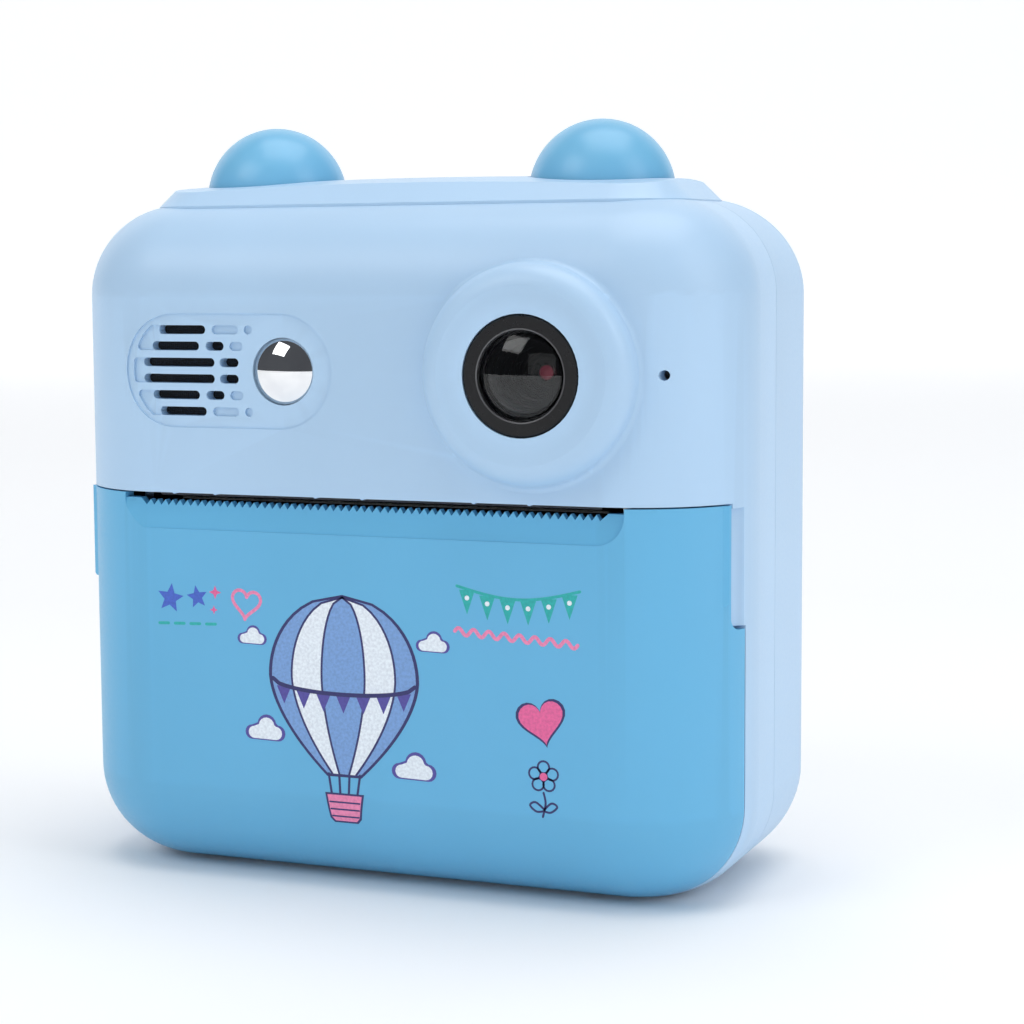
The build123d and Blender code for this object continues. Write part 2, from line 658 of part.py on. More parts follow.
# ================================================================ top cover and ears
def crown_form():
    """Large doughnut whose outer skin gives the top cover its double crown."""
    centre = Pos(0, EAR_Y, PLATFORM_TOP - CROWN_LONG_R)
    return centre * Rot(90, 0, 0) * Torus(CROWN_LONG_R - CROWN_SHORT_R, CROWN_SHORT_R)


def top_cover():
    """Crowned lid between the shells, with a spigot below and a guide tube for each ear."""
    width, depth = 2 * PLATFORM_HALF, PLATFORM_BACK_Y - PLATFORM_FRONT_Y
    plan = Pos(0, (PLATFORM_FRONT_Y + PLATFORM_BACK_Y) / 2) * RectangleRounded(width, depth, PLATFORM_CORNER)
    cover = from_top(plan, TOP_Z - 2, PLATFORM_TOP + 1)
    rim = cover.faces().sort_by(Axis.Z)[-1].edges()
    cover = (chamfer(rim, PLATFORM_SLOPE) & crown_form()) - body_form()
    cover += from_top(spigot_outline(), SPIGOT_Z, TOP_Z)
    cover -= from_top(spigot_outline(-SPIGOT_WALL), SPIGOT_Z - 1, TOP_Z + 1.0)
    for side in (-1, 1):
        tube = disc_z(side * EAR_X, EAR_Y, EAR_R + 1.15, SPIGOT_Z, TOP_Z + 1.2)
        cover = cover + tube - disc_z(side * EAR_X, EAR_Y, EAR_R + 0.15, 70.0, FAR * 2)
    return cover


def ear_button(x):
    """Ball-topped push button: thin skirt, retaining flange, spring shelf and switch stem."""
    inner_r = EAR_R - EAR_WALL
    stem_r, shelf_r = 1.8, 4.6
    shelf_low, shelf_high = EAR_FLANGE_Z + 1.5, EAR_FLANGE_Z + 2.5
    flange_high = EAR_FLANGE_Z + 1.0
    slant = math.sqrt(0.5)
    crown = (0, EAR_CENTRE_Z + EAR_R)
    outer_side, outer_middle = (EAR_R, EAR_CENTRE_Z), (EAR_R * slant, EAR_CENTRE_Z + EAR_R * slant)
    inner_side, inner_middle = (inner_r, EAR_CENTRE_Z), (inner_r * slant, EAR_CENTRE_Z + inner_r * slant)
    stem_root = (stem_r, EAR_CENTRE_Z + math.sqrt(inner_r ** 2 - stem_r ** 2))
    foot = (inner_r, EAR_FLANGE_Z)
    flange = [foot, (EAR_FLANGE_R, EAR_FLANGE_Z), (EAR_FLANGE_R, flange_high), (EAR_R, flange_high)]
    shelf = [(inner_r, shelf_high), (shelf_r, shelf_high), (shelf_r, shelf_low), (inner_r, shelf_low)]
    profile = (
        Polyline(*flange, outer_side)
        + ThreePointArc(outer_side, outer_middle, crown)
        + Polyline(crown, (0, EAR_STEM_END_Z), (stem_r, EAR_STEM_END_Z), stem_root)
        + ThreePointArc(stem_root, inner_middle, inner_side)
        + Polyline(inner_side, *shelf, foot)
    )
    half_plane = Plane.XZ * make_face(profile)
    return Pos(x, EAR_Y, 0) * revolve(half_plane, Axis.Z)


def ear_spring(x):
    return spring(x, EAR_Y, SWITCH_BOARD_Z + SWITCH_BOARD_THICK + 0.05, 79.65, 5.7, 0.3, 4)


def ear_switch_board():
    """Small circuit board with a push switch under each ear."""
    top = SWITCH_BOARD_Z + SWITCH_BOARD_THICK
    board = from_top(Pos(0, EAR_Y) * RectangleRounded(*SWITCH_BOARD_SIZE, 1.5), SWITCH_BOARD_Z, top)
    for side in (-1, 1):
        x = side * EAR_X
        board += block((x - 3, x + 3), (EAR_Y - 3, EAR_Y + 3), (top, top + 1.5))
        board += disc_z(x, EAR_Y, 1.7, top, EAR_STEM_END_Z - EAR_TRAVEL - 0.05)
    return board


# ================================================================ lens
def lens_bezel():
    """Black ring with a seat for the clear window and a flange behind the front wall."""
    front = BEZEL_FRONT_Y
    seat_y, seat_r = front + 1.9, GLASS_R + 0.02
    flange_y = INNER_FRONT_Y + BEZEL_FLANGE
    wall_y = INNER_FRONT_Y
    face = [(GLASS_R + 0.35, front), (BEZEL_R - 0.25, front), (BEZEL_R, front + 0.25), (BEZEL_R, wall_y)]
    flange = [(BEZEL_FLANGE_R, wall_y), (BEZEL_FLANGE_R, flange_y), (BEZEL_BORE_R, flange_y)]
    seat = [(BEZEL_BORE_R, seat_y), (seat_r, seat_y), (seat_r, front + 0.45)]
    return turned(face + flange + seat, LENS_X, LENS_Z)


def lens_cover():
    """Clear domed window in front of the lens."""
    rim_y, back_y = BEZEL_FRONT_Y + 0.55, BEZEL_FRONT_Y + 1.85
    centre_y = rim_y + math.sqrt(COVER_CURVE_R ** 2 - GLASS_R ** 2)
    dome = ball(LENS_X, centre_y, LENS_Z, COVER_CURVE_R)
    rim = disc_y(LENS_X, LENS_Z, GLASS_R, rim_y, back_y)
    pane = disc_y(LENS_X, LENS_Z, GLASS_R, rim_y - 3, back_y) & (dome + rim)
    return pane - ball(LENS_X, centre_y + COVER_THICK - 0.1, LENS_Z, COVER_CURVE_R - 0.1)


def lens_barrel():
    """Stepped black tube that holds the lens element."""
    front = BEZEL_FRONT_Y + 2.1
    bore_r, back_bore_r, outer_r = ELEMENT_R + 0.03, 3.2, 4.7
    steps = [(4.1, front), (4.1, front + 1.0), (3.6, front + 1.3), (3.6, front + 2.6), (3.0, front + 2.9),
             (3.0, front + 4.3), (2.3, front + 4.7), (2.3, front + 5.9), (bore_r, front + 6.2)]
    back_y, step_y = HOLDER_FRONT_Y, HOLDER_FRONT_Y - 1.0
    back = [(bore_r, step_y), (back_bore_r, step_y), (back_bore_r, back_y), (outer_r, back_y)]
    return turned(steps + back + [(outer_r, front)], LENS_X, LENS_Z)


def lens_element():
    """Small glass lens deep in the barrel."""
    plug = disc_y(LENS_X, LENS_Z, ELEMENT_R, ELEMENT_FRONT_Y, ELEMENT_BACK_Y)
    return plug & ball(LENS_X, ELEMENT_FRONT_Y + ELEMENT_CURVE_R, LENS_Z, ELEMENT_CURVE_R)


def lens_square(half, y_front, y_back):
    """Square block about the lens's middle line."""
    return block((LENS_X - half, LENS_X + half), (y_front, y_back), (LENS_Z - half, LENS_Z + half))


def sensor_holder():
    """Block behind the barrel with a bore for the light and a well for the image sensor."""
    body = lens_square(HOLDER_HALF, HOLDER_FRONT_Y, HOLDER_BACK_Y)
    well = lens_square(3.6, HOLDER_FRONT_Y + 1.8, HOLDER_BACK_Y + 1)
    return body - well - disc_y(LENS_X, LENS_Z, 2.4, HOLDER_FRONT_Y - 1, HOLDER_BACK_Y)


def sensor_board():
    """Lens board with the image sensor on its front and a cable connector on its back."""
    board_back_y = HOLDER_BACK_Y + 1.0
    sensor = lens_square(2.6, HOLDER_BACK_Y - 0.9, HOLDER_BACK_Y)
    board = lens_square(SENSOR_BOARD_HALF, HOLDER_BACK_Y, board_back_y)
    connector_z = (LENS_Z + 3.2, LENS_Z + 5.2)
    connector = block((LENS_X - 5, LENS_X + 5), (board_back_y, board_back_y + 1.0), connector_z)
    return board + sensor + connector


# ================================================================ other front parts
def selfie_mirror():
    """Chromed convex mirror, held by a flange behind the front wall."""
    rim_y = FRONT_Y + 0.6
    centre_y = rim_y + math.sqrt(MIRROR_CURVE_R ** 2 - MIRROR_R ** 2)
    dome = disc_y(MIRROR_X, MIRROR_Z, MIRROR_R, -FAR, rim_y)
    dome &= ball(MIRROR_X, centre_y, MIRROR_Z, MIRROR_CURVE_R)
    stem = disc_y(MIRROR_X, MIRROR_Z, MIRROR_R, rim_y, INNER_FRONT_Y)
    flange = disc_y(MIRROR_X, MIRROR_Z, MIRROR_R + 0.8, INNER_FRONT_Y, INNER_FRONT_Y + 0.8)
    return dome + stem + flange


def grille_cloth():
    """Dark cloth on the inner face of the front wall, behind the open bars."""
    outline = Pos(CLOTH_X, GRILLE_Z) * SlotOverall(*CLOTH_SIZE)
    return from_front(outline, INNER_FRONT_Y, INNER_FRONT_Y + 0.3) & body_form(WALL + 0.02)


def speaker_frame():
    """Basket with the magnet pot behind it."""
    y = INNER_FRONT_Y + 0.65
    back = [(7.5, y + 1.4), (5.0, y + 2.4), (5.0, y + 4.2), (0.0, y + 4.2)]
    inside = [(0.0, y + 2.9), (4.2, y + 2.9), (4.2, y + 2.0), (6.2, y + 1.2)]
    return turned([(6.2, y), (7.5, y)] + back + inside, SPEAKER_X, GRILLE_Z)


def speaker_cone():
    """Thin cone with a dust cap and a rolled surround."""
    line = [(0, 0.5), (2.6, 0.3), (4.6, 0.9), (5.5, 0.1), (6.1, 0.3)]
    front = [(radius, INNER_FRONT_Y + 0.8 + y) for radius, y in line]
    back = [(radius, y + CONE_THICK) for radius, y in reversed(front)]
    return turned(front + back, SPEAKER_X, GRILLE_Z)


def microphone():
    return disc_y(MIC_X, MIC_Z, MIC_R, MIC_FRONT_Y, MIC_FRONT_Y + 1.8)


# ================================================================ rear parts
def screen_window():
    outline = Pos(0, SCREEN_Z) * RectangleRounded(WINDOW_WIDTH, WINDOW_HEIGHT, WINDOW_CORNER)
    return from_front(outline, BACK_Y - 1.05, BACK_Y - 0.05)


def display_panel():
    """Display module with a shallow recess where the picture shows."""
    centre = Pos(0, SCREEN_Z)
    module = Rectangle(VIEW_WIDTH + 11.2, VIEW_HEIGHT + 4.0)
    panel = from_front(centre * module, DISPLAY_BACK_Y - DISPLAY_THICK, DISPLAY_BACK_Y)
    recess = from_front(centre * Rectangle(VIEW_WIDTH, VIEW_HEIGHT), DISPLAY_BACK_Y - 0.2, DISPLAY_BACK_Y)
    return panel - recess


def rear_key(name):
    """Key cap with a retaining flange behind the rear wall and a crowned, chamfered face."""
    cap = from_front(key_outlines()[name], KEY_FRONT_Y, KEY_TOP_Y)
    outer = cap.faces().sort_by(Axis.Y)[-1]
    cap = chamfer(outer.edges(), 0.3)
    flange = from_front(key_outlines(KEY_GAP + 0.25)[name], KEY_FRONT_Y, KEY_FRONT_Y + KEY_FLANGE)
    if name in PAD_DIRECTIONS or name == "ok_key":
        flange = from_front(key_outlines(0.0)[name], KEY_FRONT_Y, KEY_FRONT_Y + KEY_FLANGE)
    return cap + flange


def keypad_board():
    return block((-30.0, 30.0), (KEYPAD_FRONT_Y, KEYPAD_FRONT_Y + KEYPAD_THICK), (5.6, 32.8))


def key_centres():
    """Where each key presses its contact dome."""
    reach = (PAD_R + PAD_BORE_R) / 2
    centres = list(KEY_PLACES.values()) + [(PAD_X, PAD_Z)]
    for angle in PAD_DIRECTIONS.values():
        a = math.radians(angle)
        centres.append((PAD_X + reach * math.cos(a), PAD_Z + reach * math.sin(a)))
    return centres


def contact_domes():
    """One thin snap dome under each key."""
    y = KEYPAD_FRONT_Y + KEYPAD_THICK
    dome = [(0, y), (1.9, y), (1.9, y + 0.1), (0.9, y + DOME_HEIGHT), (0, y + DOME_HEIGHT)]
    return Compound([turned(dome, x, z) for x, z in key_centres()])


# ================================================================ fasteners and strap pin
def cross_recess(x, z, reach, half, y_front, y_back):
    """Cross-shaped socket in a screw's head."""
    cross = block((x - reach, x + reach), (y_front, y_back), (z - half, z + half))
    return cross + block((x - half, x + half), (y_front, y_back), (z - reach, z + reach))


def shell_screw(x, z):
    head = disc_y(x, z, SCREW_HEAD_R, SCREW_SEAT_Y, SCREW_SEAT_Y + 1.5)
    head = fillet(head.faces().sort_by(Axis.Y)[-1].edges(), 0.6)
    cross = cross_recess(x, z, 1.3, 0.3, SCREW_SEAT_Y + 0.6, FAR)
    return head + disc_y(x, z, SCREW_SHANK_R, SCREW_TIP_Y, SCREW_SEAT_Y) - cross


def shell_screws():
    return Compound([shell_screw(x, z) for x, z in SCREW_PLACES])


def board_screws():
    """Small screws that hold the main board on its posts."""
    y = BOARD_FRONT_Y
    screws = []
    for x, z in BOARD_POSTS:
        head = disc_y(x, z, 1.5, y - 1.0, y)
        shank = disc_y(x, z, BOARD_SCREW_R, y, y + 5.0)
        screws.append(head + shank - cross_recess(x, z, 0.9, 0.2, y - 2, y - 0.5))
    return Compound(screws)


def strap_pin():
    return disc_z(STRAP_PIN_X, STRAP_Y, STRAP_PIN_R, STRAP_Z - STRAP_PIN_HALF, STRAP_Z + STRAP_PIN_HALF)


# ================================================================ paper path
def direction(angle):
    a = math.radians(angle)
    return math.cos(a), math.sin(a)


def around(y, z, radius, angle):
    """Point at an angle from +Y on a circle in the side view."""
    c, s = direction(angle)
    return y + radius * c, z + radius * s


def paper_roll():
    return disc_x(ROLL_Y, ROLL_Z, ROLL_R, *PAPER_SPAN) - disc_x(ROLL_Y, ROLL_Z, CORE_R, *PAPER_SPAN)


def roll_core():
    return disc_x(ROLL_Y, ROLL_Z, CORE_R, *PAPER_SPAN) - disc_x(ROLL_Y, ROLL_Z, CORE_BORE_R, *PAPER_SPAN)


def paper_web():
    """Paper from the back of the roll, straight up to the platen and round it to the print line."""
    roll_r, platen_r = ROLL_R + WEB_GAP, PLATEN_R + WEB_GAP
    distance = math.dist((ROLL_Y, ROLL_Z), (PLATEN_Y, PLATEN_Z))
    heading = math.degrees(math.atan2(PLATEN_Z - ROLL_Z, PLATEN_Y - ROLL_Y))
    tangent = heading - math.degrees(math.acos((roll_r - platen_r) / distance))
    middle, end = (tangent + NIP_ANGLE + 3) / 2, NIP_ANGLE + 3
    inner = [around(PLATEN_Y, PLATEN_Z, platen_r, a) for a in (tangent, middle, end)]
    outer = [around(PLATEN_Y, PLATEN_Z, platen_r + WEB_THICK, a) for a in (end, middle, tangent)]
    start_in = around(ROLL_Y, ROLL_Z, roll_r, tangent)
    start_out = around(ROLL_Y, ROLL_Z, roll_r + WEB_THICK, tangent)
    edge = Line(start_in, inner[0]) + ThreePointArc(*inner) + Line(inner[2], outer[0])
    edge += ThreePointArc(*outer) + Line(outer[2], start_out) + Line(start_out, start_in)
    return from_side(make_face(edge), *PAPER_SPAN)


def paper_bin():
    """Cradle for the roll, with side walls and a front flange that closes the bay."""
    x_left, x_right = PAPER_SPAN[0] - BIN_SIDE_GAP, PAPER_SPAN[1] + BIN_SIDE_GAP
    trough_r = ROLL_R + 0.5
    floor, back_y, back_z, top_z = BASE_Z + WALL + 0.15, 14.6, 8.0, 33.0
    trough = Pos(ROLL_Y, ROLL_Z) * (Circle(trough_r + 0.9) - Circle(trough_r))
    trough &= polygon((-12.3, -5), (-12.3, back_z + 0.6), (back_y + 0.2, back_z + 0.6), (back_y + 0.2, -5))
    back_front_y = back_y - BIN_WALL
    back = polygon((back_front_y, back_z), (back_y, back_z), (back_y, top_z), (back_front_y, top_z))
    side = polygon((-9.4, 4.5), (-5.0, floor), (8.0, floor), (back_y, back_z), (back_y, top_z),
                   (-2.0, BIN_TOP_Z), (-9.4, BIN_TOP_Z))
    tray = from_side(trough + back, x_left - BIN_WALL, x_right + BIN_WALL)
    tray += from_side(side, x_left - BIN_WALL, x_left)
    tray += from_side(side, x_right, x_right + BIN_WALL)
    flange = body_form(WALL + 0.3) & block((-FAR, FAR), (BIN_FLANGE_Y, BIN_FLANGE_Y + BIN_WALL), (2.4, 45.6))
    flange -= block((x_left - 0.5, x_right + 0.5), (-FAR, 0), (0, FAR))
    flange -= block((LEFT_PLATE_X[0] - 0.4, x_left), (-FAR, 0), (BIN_TOP_Z, FAR))
    flange -= block((x_right, COARSE_GEAR_X[1] + 0.5), (-FAR, 0), (BIN_TOP_Z - 1.8, FAR))
    for x in both_sides(LUG_X[0] - 0.5, LUG_X[1] + 0.5):
        tray -= block(x, (-FAR, LUG_BACK_Y + 0.3), (-5, HINGE_Z + HINGE_R + 0.3))
    return (tray + flange) - disc_x(HINGE_Y, HINGE_Z, HINGE_R + 0.4, -FAR, FAR)


# ================================================================ printer mechanism
def idler_place():
    return around(PLATEN_Y, PLATEN_Z, COARSE_MODULE * (PLATEN_TEETH + IDLER_TEETH) / 2, IDLER_ANGLE)


def compound_place():
    return around(*idler_place(), COARSE_MODULE * (IDLER_TEETH + SMALL_TEETH) / 2, COMPOUND_ANGLE)


def motor_place():
    return around(*compound_place(), FINE_MODULE * (LARGE_TEETH + PINION_TEETH) / 2, MOTOR_ANGLE)


def involute(angle):
    return math.tan(angle) - angle


def gear_outline(teeth, module, turn):
    """Involute spur gear; one tooth points at turn degrees from +Y."""
    pitch_r = module * teeth / 2
    base_r = pitch_r * math.cos(PRESSURE_ANGLE)
    tip_r, root_r = pitch_r + ADDENDUM * module, pitch_r - DEDENDUM * module
    half_pitch = math.pi / (2 * teeth) - BACKLASH / 2 / pitch_r
    start_r = max(base_r, root_r)
    flank = []
    for i in range(4):
        r = start_r + (tip_r - start_r) * i / 3
        flank.append((r, half_pitch + involute(PRESSURE_ANGLE) - involute(math.acos(min(1.0, base_r / r)))))
    if root_r < start_r:
        flank.insert(0, (root_r, flank[0][1]))
    points = []
    for tooth in range(teeth):
        middle = math.radians(turn) + 2 * math.pi * tooth / teeth
        points += [(r * math.cos(middle - a), r * math.sin(middle - a)) for r, a in flank]
        points += [(r * math.cos(middle + a), r * math.sin(middle + a)) for r, a in reversed(flank)]
    return polygon(*points)


def next_turn(turn, teeth, next_teeth, angle):
    """Turn of a gear in mesh with one before it, which lies at angle from the first."""
    return angle + 180 + 180 / next_teeth - (turn - angle) * teeth / next_teeth


TURN_PLATEN = IDLER_ANGLE
TURN_IDLER = next_turn(TURN_PLATEN, PLATEN_TEETH, IDLER_TEETH, IDLER_ANGLE)
TURN_SMALL = next_turn(TURN_IDLER, IDLER_TEETH, SMALL_TEETH, COMPOUND_ANGLE)
TURN_LARGE = TURN_SMALL
TURN_PINION = next_turn(TURN_LARGE, LARGE_TEETH, PINION_TEETH, MOTOR_ANGLE)


def spur_gear(teeth, module, turn, place, span):
    return from_side(Pos(*place) * gear_outline(teeth, module, turn), *span)


def platen_gear():
    gear = spur_gear(PLATEN_TEETH, COARSE_MODULE, TURN_PLATEN, (PLATEN_Y, PLATEN_Z), COARSE_GEAR_X)
    return gear - disc_x(PLATEN_Y, PLATEN_Z, SHAFT_R, *COARSE_GEAR_X)


def idler_gear():
    place = idler_place()
    gear = spur_gear(IDLER_TEETH, COARSE_MODULE, TURN_IDLER, place, COARSE_GEAR_X)
    return gear - disc_x(*place, AXLE_R + RUNNING_GAP, *COARSE_GEAR_X)


def compound_gear():
    place = compound_place()
    gear = spur_gear(SMALL_TEETH, COARSE_MODULE, TURN_SMALL, place, (COARSE_GEAR_X[0], FINE_GEAR_X[0]))
    gear += spur_gear(LARGE_TEETH, FINE_MODULE, TURN_LARGE, place, FINE_GEAR_X)
    return gear - disc_x(*place, AXLE_R + RUNNING_GAP, COARSE_GEAR_X[0], FINE_GEAR_X[1])


def motor_pinion():
    """Pinion made in one piece with the motor's shaft."""
    gear = spur_gear(PINION_TEETH, FINE_MODULE, TURN_PINION, motor_place(), FINE_GEAR_X)
    return gear + disc_x(*motor_place(), 0.6, 25.5, FINE_GEAR_X[1] + 0.4)


def platen_roller():
    span = (PAPER_X - PAPER_WIDTH / 2 - 0.3, PAPER_X + PAPER_WIDTH / 2 + 0.5)
    return disc_x(PLATEN_Y, PLATEN_Z, PLATEN_R, *span) - disc_x(PLATEN_Y, PLATEN_Z, SHAFT_R, *span)


def platen_shaft():
    return disc_x(PLATEN_Y, PLATEN_Z, SHAFT_R, LEFT_PLATE_X[0] - 0.4, COARSE_GEAR_X[1] + 0.5)


def platen_bushes():
    """Bushes fixed in the door's arms. When the door shuts they snap into the frame's forks."""
    spans = [(LEFT_PLATE_X[0], LEFT_ARM_X[1]), (RIGHT_ARM_X[0], RIGHT_PLATE_X[1] + 0.2)]
    bore_r = SHAFT_R + RUNNING_GAP
    place = (PLATEN_Y, PLATEN_Z)
    return Compound([disc_x(*place, BUSH_R, *span) - disc_x(*place, bore_r, *span) for span in spans])


def head_point(along, above):
    """Point in the side view, measured from the print line along the paper and away from the platen."""
    c, s = direction(NIP_ANGLE)
    y, z = around(PLATEN_Y, PLATEN_Z, PLATEN_R + WEB_GAP + WEB_THICK + 0.03, NIP_ANGLE)
    return y - s * along + c * above, z + c * along + s * above


HEAD_PIVOT = head_point(HEAD_PIVOT_ALONG, HEAD_THICK + SINK_THICK / 2)


def head_slab(along, above, x):
    """Flat slab in the print head, from ranges along the paper, away from the platen and in x."""
    (start, end), (low, high) = along, above
    corners = [head_point(*corner) for corner in ((start, low), (end, low), (end, high), (start, high))]
    return from_side(polygon(*corners), *x)


def thermal_head():
    """Ceramic strip with the heating line."""
    return head_slab((-5.0, 4.6), (0.0, HEAD_THICK), (PAPER_SPAN[0] - 0.7, PAPER_SPAN[1] + 0.7))


def head_heat_sink():
    """Carrier plate of the print head, which turns on a long pin behind the paper."""
    x = (PAPER_SPAN[0] - 1.1, PAPER_SPAN[1] + 1.1)
    plate = head_slab((HEAD_PIVOT_ALONG, 4.8), (HEAD_THICK, HEAD_THICK + SINK_THICK), x)
    return plate + disc_x(*HEAD_PIVOT, 1.9, *x) - disc_x(*HEAD_PIVOT, AXLE_R + RUNNING_GAP, *x)


def chassis_pins():
    """Two gear axles and the print head's long pivot pin, pressed into the frame."""
    axle_ends = (RIGHT_PLATE_X[0], FINE_GEAR_X[1] + 0.5)
    axles = [disc_x(*place, AXLE_R, *axle_ends) for place in (idler_place(), compound_place())]
    return Compound([*axles, disc_x(*HEAD_PIVOT, AXLE_R, LEFT_PLATE_X[0], RIGHT_PLATE_X[1])])


def head_springs():
    return Compound([spring(x, -12.6, 48.35, TOP_BAR_Z - 0.02, 1.6, 0.22, 5) for x in (-20.0, 12.0)])


def printer_chassis():
    """Folded frame with open forks that grip the platen's bushes."""
    top_z, back_y = TOP_BAR_Z + PLATE_THICK, 2.0
    plate = polygon((-16.6, 37.0), (1.0, 37.0), (back_y, 40.0), (back_y, top_z), (-16.6, top_z))
    wing_y, wing_z = (-4.0, 11.0), (43.5, 57.0)
    motor_wing = polygon(
        (back_y - 0.1, wing_z[0]), (wing_y[1], wing_z[0]), (wing_y[1], wing_z[1]), (wing_y[0], wing_z[1]),
        (wing_y[0], TOP_BAR_Z), (back_y - 0.1, TOP_BAR_Z))
    fork_r, mouth_y = BUSH_R + 0.15, PLATEN_Y - 5
    mouth = polygon(
        (PLATEN_Y, PLATEN_Z + fork_r), (mouth_y, PLATEN_Z + fork_r),
        (mouth_y, PLATEN_Z - fork_r - 0.35), (PLATEN_Y, PLATEN_Z - fork_r))
    fork = Pos(PLATEN_Y, PLATEN_Z) * Circle(fork_r) + mouth
    chassis = from_side(plate - fork, *LEFT_PLATE_X) + from_side(plate + motor_wing - fork, *RIGHT_PLATE_X)
    span = (LEFT_PLATE_X[0], RIGHT_PLATE_X[1])
    chassis += block(span, (-16.0, -2.4), (TOP_BAR_Z, top_z))
    chassis += block((span[0], 17.5), (back_y - PLATE_THICK, back_y), (44.0, top_z))
    chassis -= disc_x(*HEAD_PIVOT, AXLE_R, *span)
    for place in (idler_place(), compound_place()):
        chassis -= disc_x(*place, AXLE_R, *RIGHT_PLATE_X)
    return chassis - disc_x(*motor_place(), 1.6, *RIGHT_PLATE_X)


def stepper_motor():
    """Round can with a terminal block, on the inner face of the frame's right plate."""
    y, z = motor_place()
    can = disc_x(y, z, MOTOR_R, RIGHT_PLATE_X[0] - MOTOR_LENGTH, RIGHT_PLATE_X[0] - 0.02)
    can = fillet(can.faces().sort_by(Axis.X)[0].edges(), 0.8)
    terminal = block((20.5, 27.5), (y - 3.0, y + 3.0), (z + 5.0, z + 7.4))
    return can + terminal - disc_x(y, z, 0.65, 25, 40)


# ================================================================ electronics
def main_board():
    board = block(MAIN_BOARD_X, (BOARD_FRONT_Y, BOARD_FRONT_Y + BOARD_THICK), MAIN_BOARD_Z)
    board -= [block(x, (0, FAR), (66.2, FAR * 2)) for x in both_sides(31.6, FAR)]
    return board - [disc_y(x, z, BOARD_SCREW_R + 0.05, 0, FAR) for x, z in BOARD_POSTS]


def main_board_chips():
    """Processor, memory, driver and connector blocks on the front face of the main board."""
    y = BOARD_FRONT_Y
    chips = [block((x - w / 2, x + w / 2), (y - t, y), (z - h / 2, z + h / 2)) for x, z, w, h, t in CHIPS]
    return Compound(chips)


def battery():
    pack = block(BATTERY_X, BATTERY_Y, BATTERY_Z)
    return fillet(pack.edges().filter_by(Axis.X), 2.2)


def usb_socket():
    """Charging socket with its contact tongue, open at the left side wall."""
    width, thick = USB_SIZE
    upright = Pos(USB_Y, USB_Z) * Rot(0, 0, 90)
    case = from_side(upright * SlotOverall(width, thick), *USB_X)
    hollow = from_side(upright * SlotOverall(width - 0.6, thick - 0.6), USB_X[0] - 1, USB_X[1] - 1)
    tongue_x = (USB_X[0] + 0.8, USB_X[1] - 0.8)
    tongue = block(tongue_x, (USB_Y - 0.35, USB_Y + 0.35), (USB_Z - 3.3, USB_Z + 3.3))
    return case - hollow + tongue


def card_socket():
    """Flat metal case on the main board, open at the left side wall."""
    front, back = BOARD_FRONT_Y - 2.0, BOARD_FRONT_Y - 0.02
    case = block(CARD_SOCKET_X, (front, back), (CARD_Z - 7.0, CARD_Z + 7.0))
    slot_x = (CARD_SOCKET_X[0] - 1, CARD_SOCKET_X[1] - 1)
    return case - block(slot_x, (front + 0.5, back - 0.33), (CARD_Z - 5.6, CARD_Z + 5.6))


def memory_card():
    x = (CARD_END_X, CARD_END_X + CARD_LENGTH)
    z = (CARD_Z - CARD_WIDTH / 2, CARD_Z + CARD_WIDTH / 2)
    card = block(x, (BOARD_FRONT_Y - 1.3, BOARD_FRONT_Y - 0.6), z)
    return fillet(card.edges().filter_by(Axis.Y), 0.8)


# ================================================================ export
PARTS = {
    "front_shell": front_shell,
    "rear_shell": rear_shell,
    "top_cover": top_cover,
    "paper_door": paper_door,
    "hinge_pins": hinge_pins,
    "shutter_ear_button": lambda: ear_button(-EAR_X),
    "print_ear_button": lambda: ear_button(EAR_X),
    "shutter_spring": lambda: ear_spring(-EAR_X),
    "print_spring": lambda: ear_spring(EAR_X),
    "ear_switch_board": ear_switch_board,
    "lens_bezel": lens_bezel,
    "lens_cover": lens_cover,
    "lens_barrel": lens_barrel,
    "lens_element": lens_element,
    "sensor_holder": sensor_holder,
    "sensor_board": sensor_board,
    "selfie_mirror": selfie_mirror,
    "grille_cloth": grille_cloth,
    "speaker_frame": speaker_frame,
    "speaker_cone": speaker_cone,
    "microphone": microphone,
    "screen_window": screen_window,
    "display_panel": display_panel,
    "keypad_board": keypad_board,
    "contact_domes": contact_domes,
    "shell_screws": shell_screws,
    "board_screws": board_screws,
    "strap_pin": strap_pin,
    "paper_roll": paper_roll,
    "roll_core": roll_core,
    "paper_web": paper_web,
    "paper_bin": paper_bin,
    "platen_roller": platen_roller,
    "platen_shaft": platen_shaft,
    "platen_bushes": platen_bushes,
    "platen_gear": platen_gear,
    "idler_gear": idler_gear,
    "compound_gear": compound_gear,
    "motor_pinion": motor_pinion,
    "stepper_motor": stepper_motor,
    "thermal_head": thermal_head,
    "head_heat_sink": head_heat_sink,
    "chassis_pins": chassis_pins,
    "head_springs": head_springs,
    "printer_chassis": printer_chassis,
    "main_board": main_board,
    "main_board_chips": main_board_chips,
    "battery": battery,
    "usb_socket": usb_socket,
    "card_socket": card_socket,
    "memory_card": memory_card,
}
for key_name in [*KEY_PLACES, "ok_key", *PAD_DIRECTIONS]:
    PARTS[key_name] = partial(rear_key, key_name)

os.makedirs("parts", exist_ok=True)
for node, build in PARTS.items():
    export_step(Pos(0, 0, -BASE_Z) * build(), f"parts/{node}.step")
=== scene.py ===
"""Looks of a child's instant-print camera: materials, printed artwork, screen picture and studio."""
import math

import bmesh
import bpy
from mathutils import Matrix, Vector


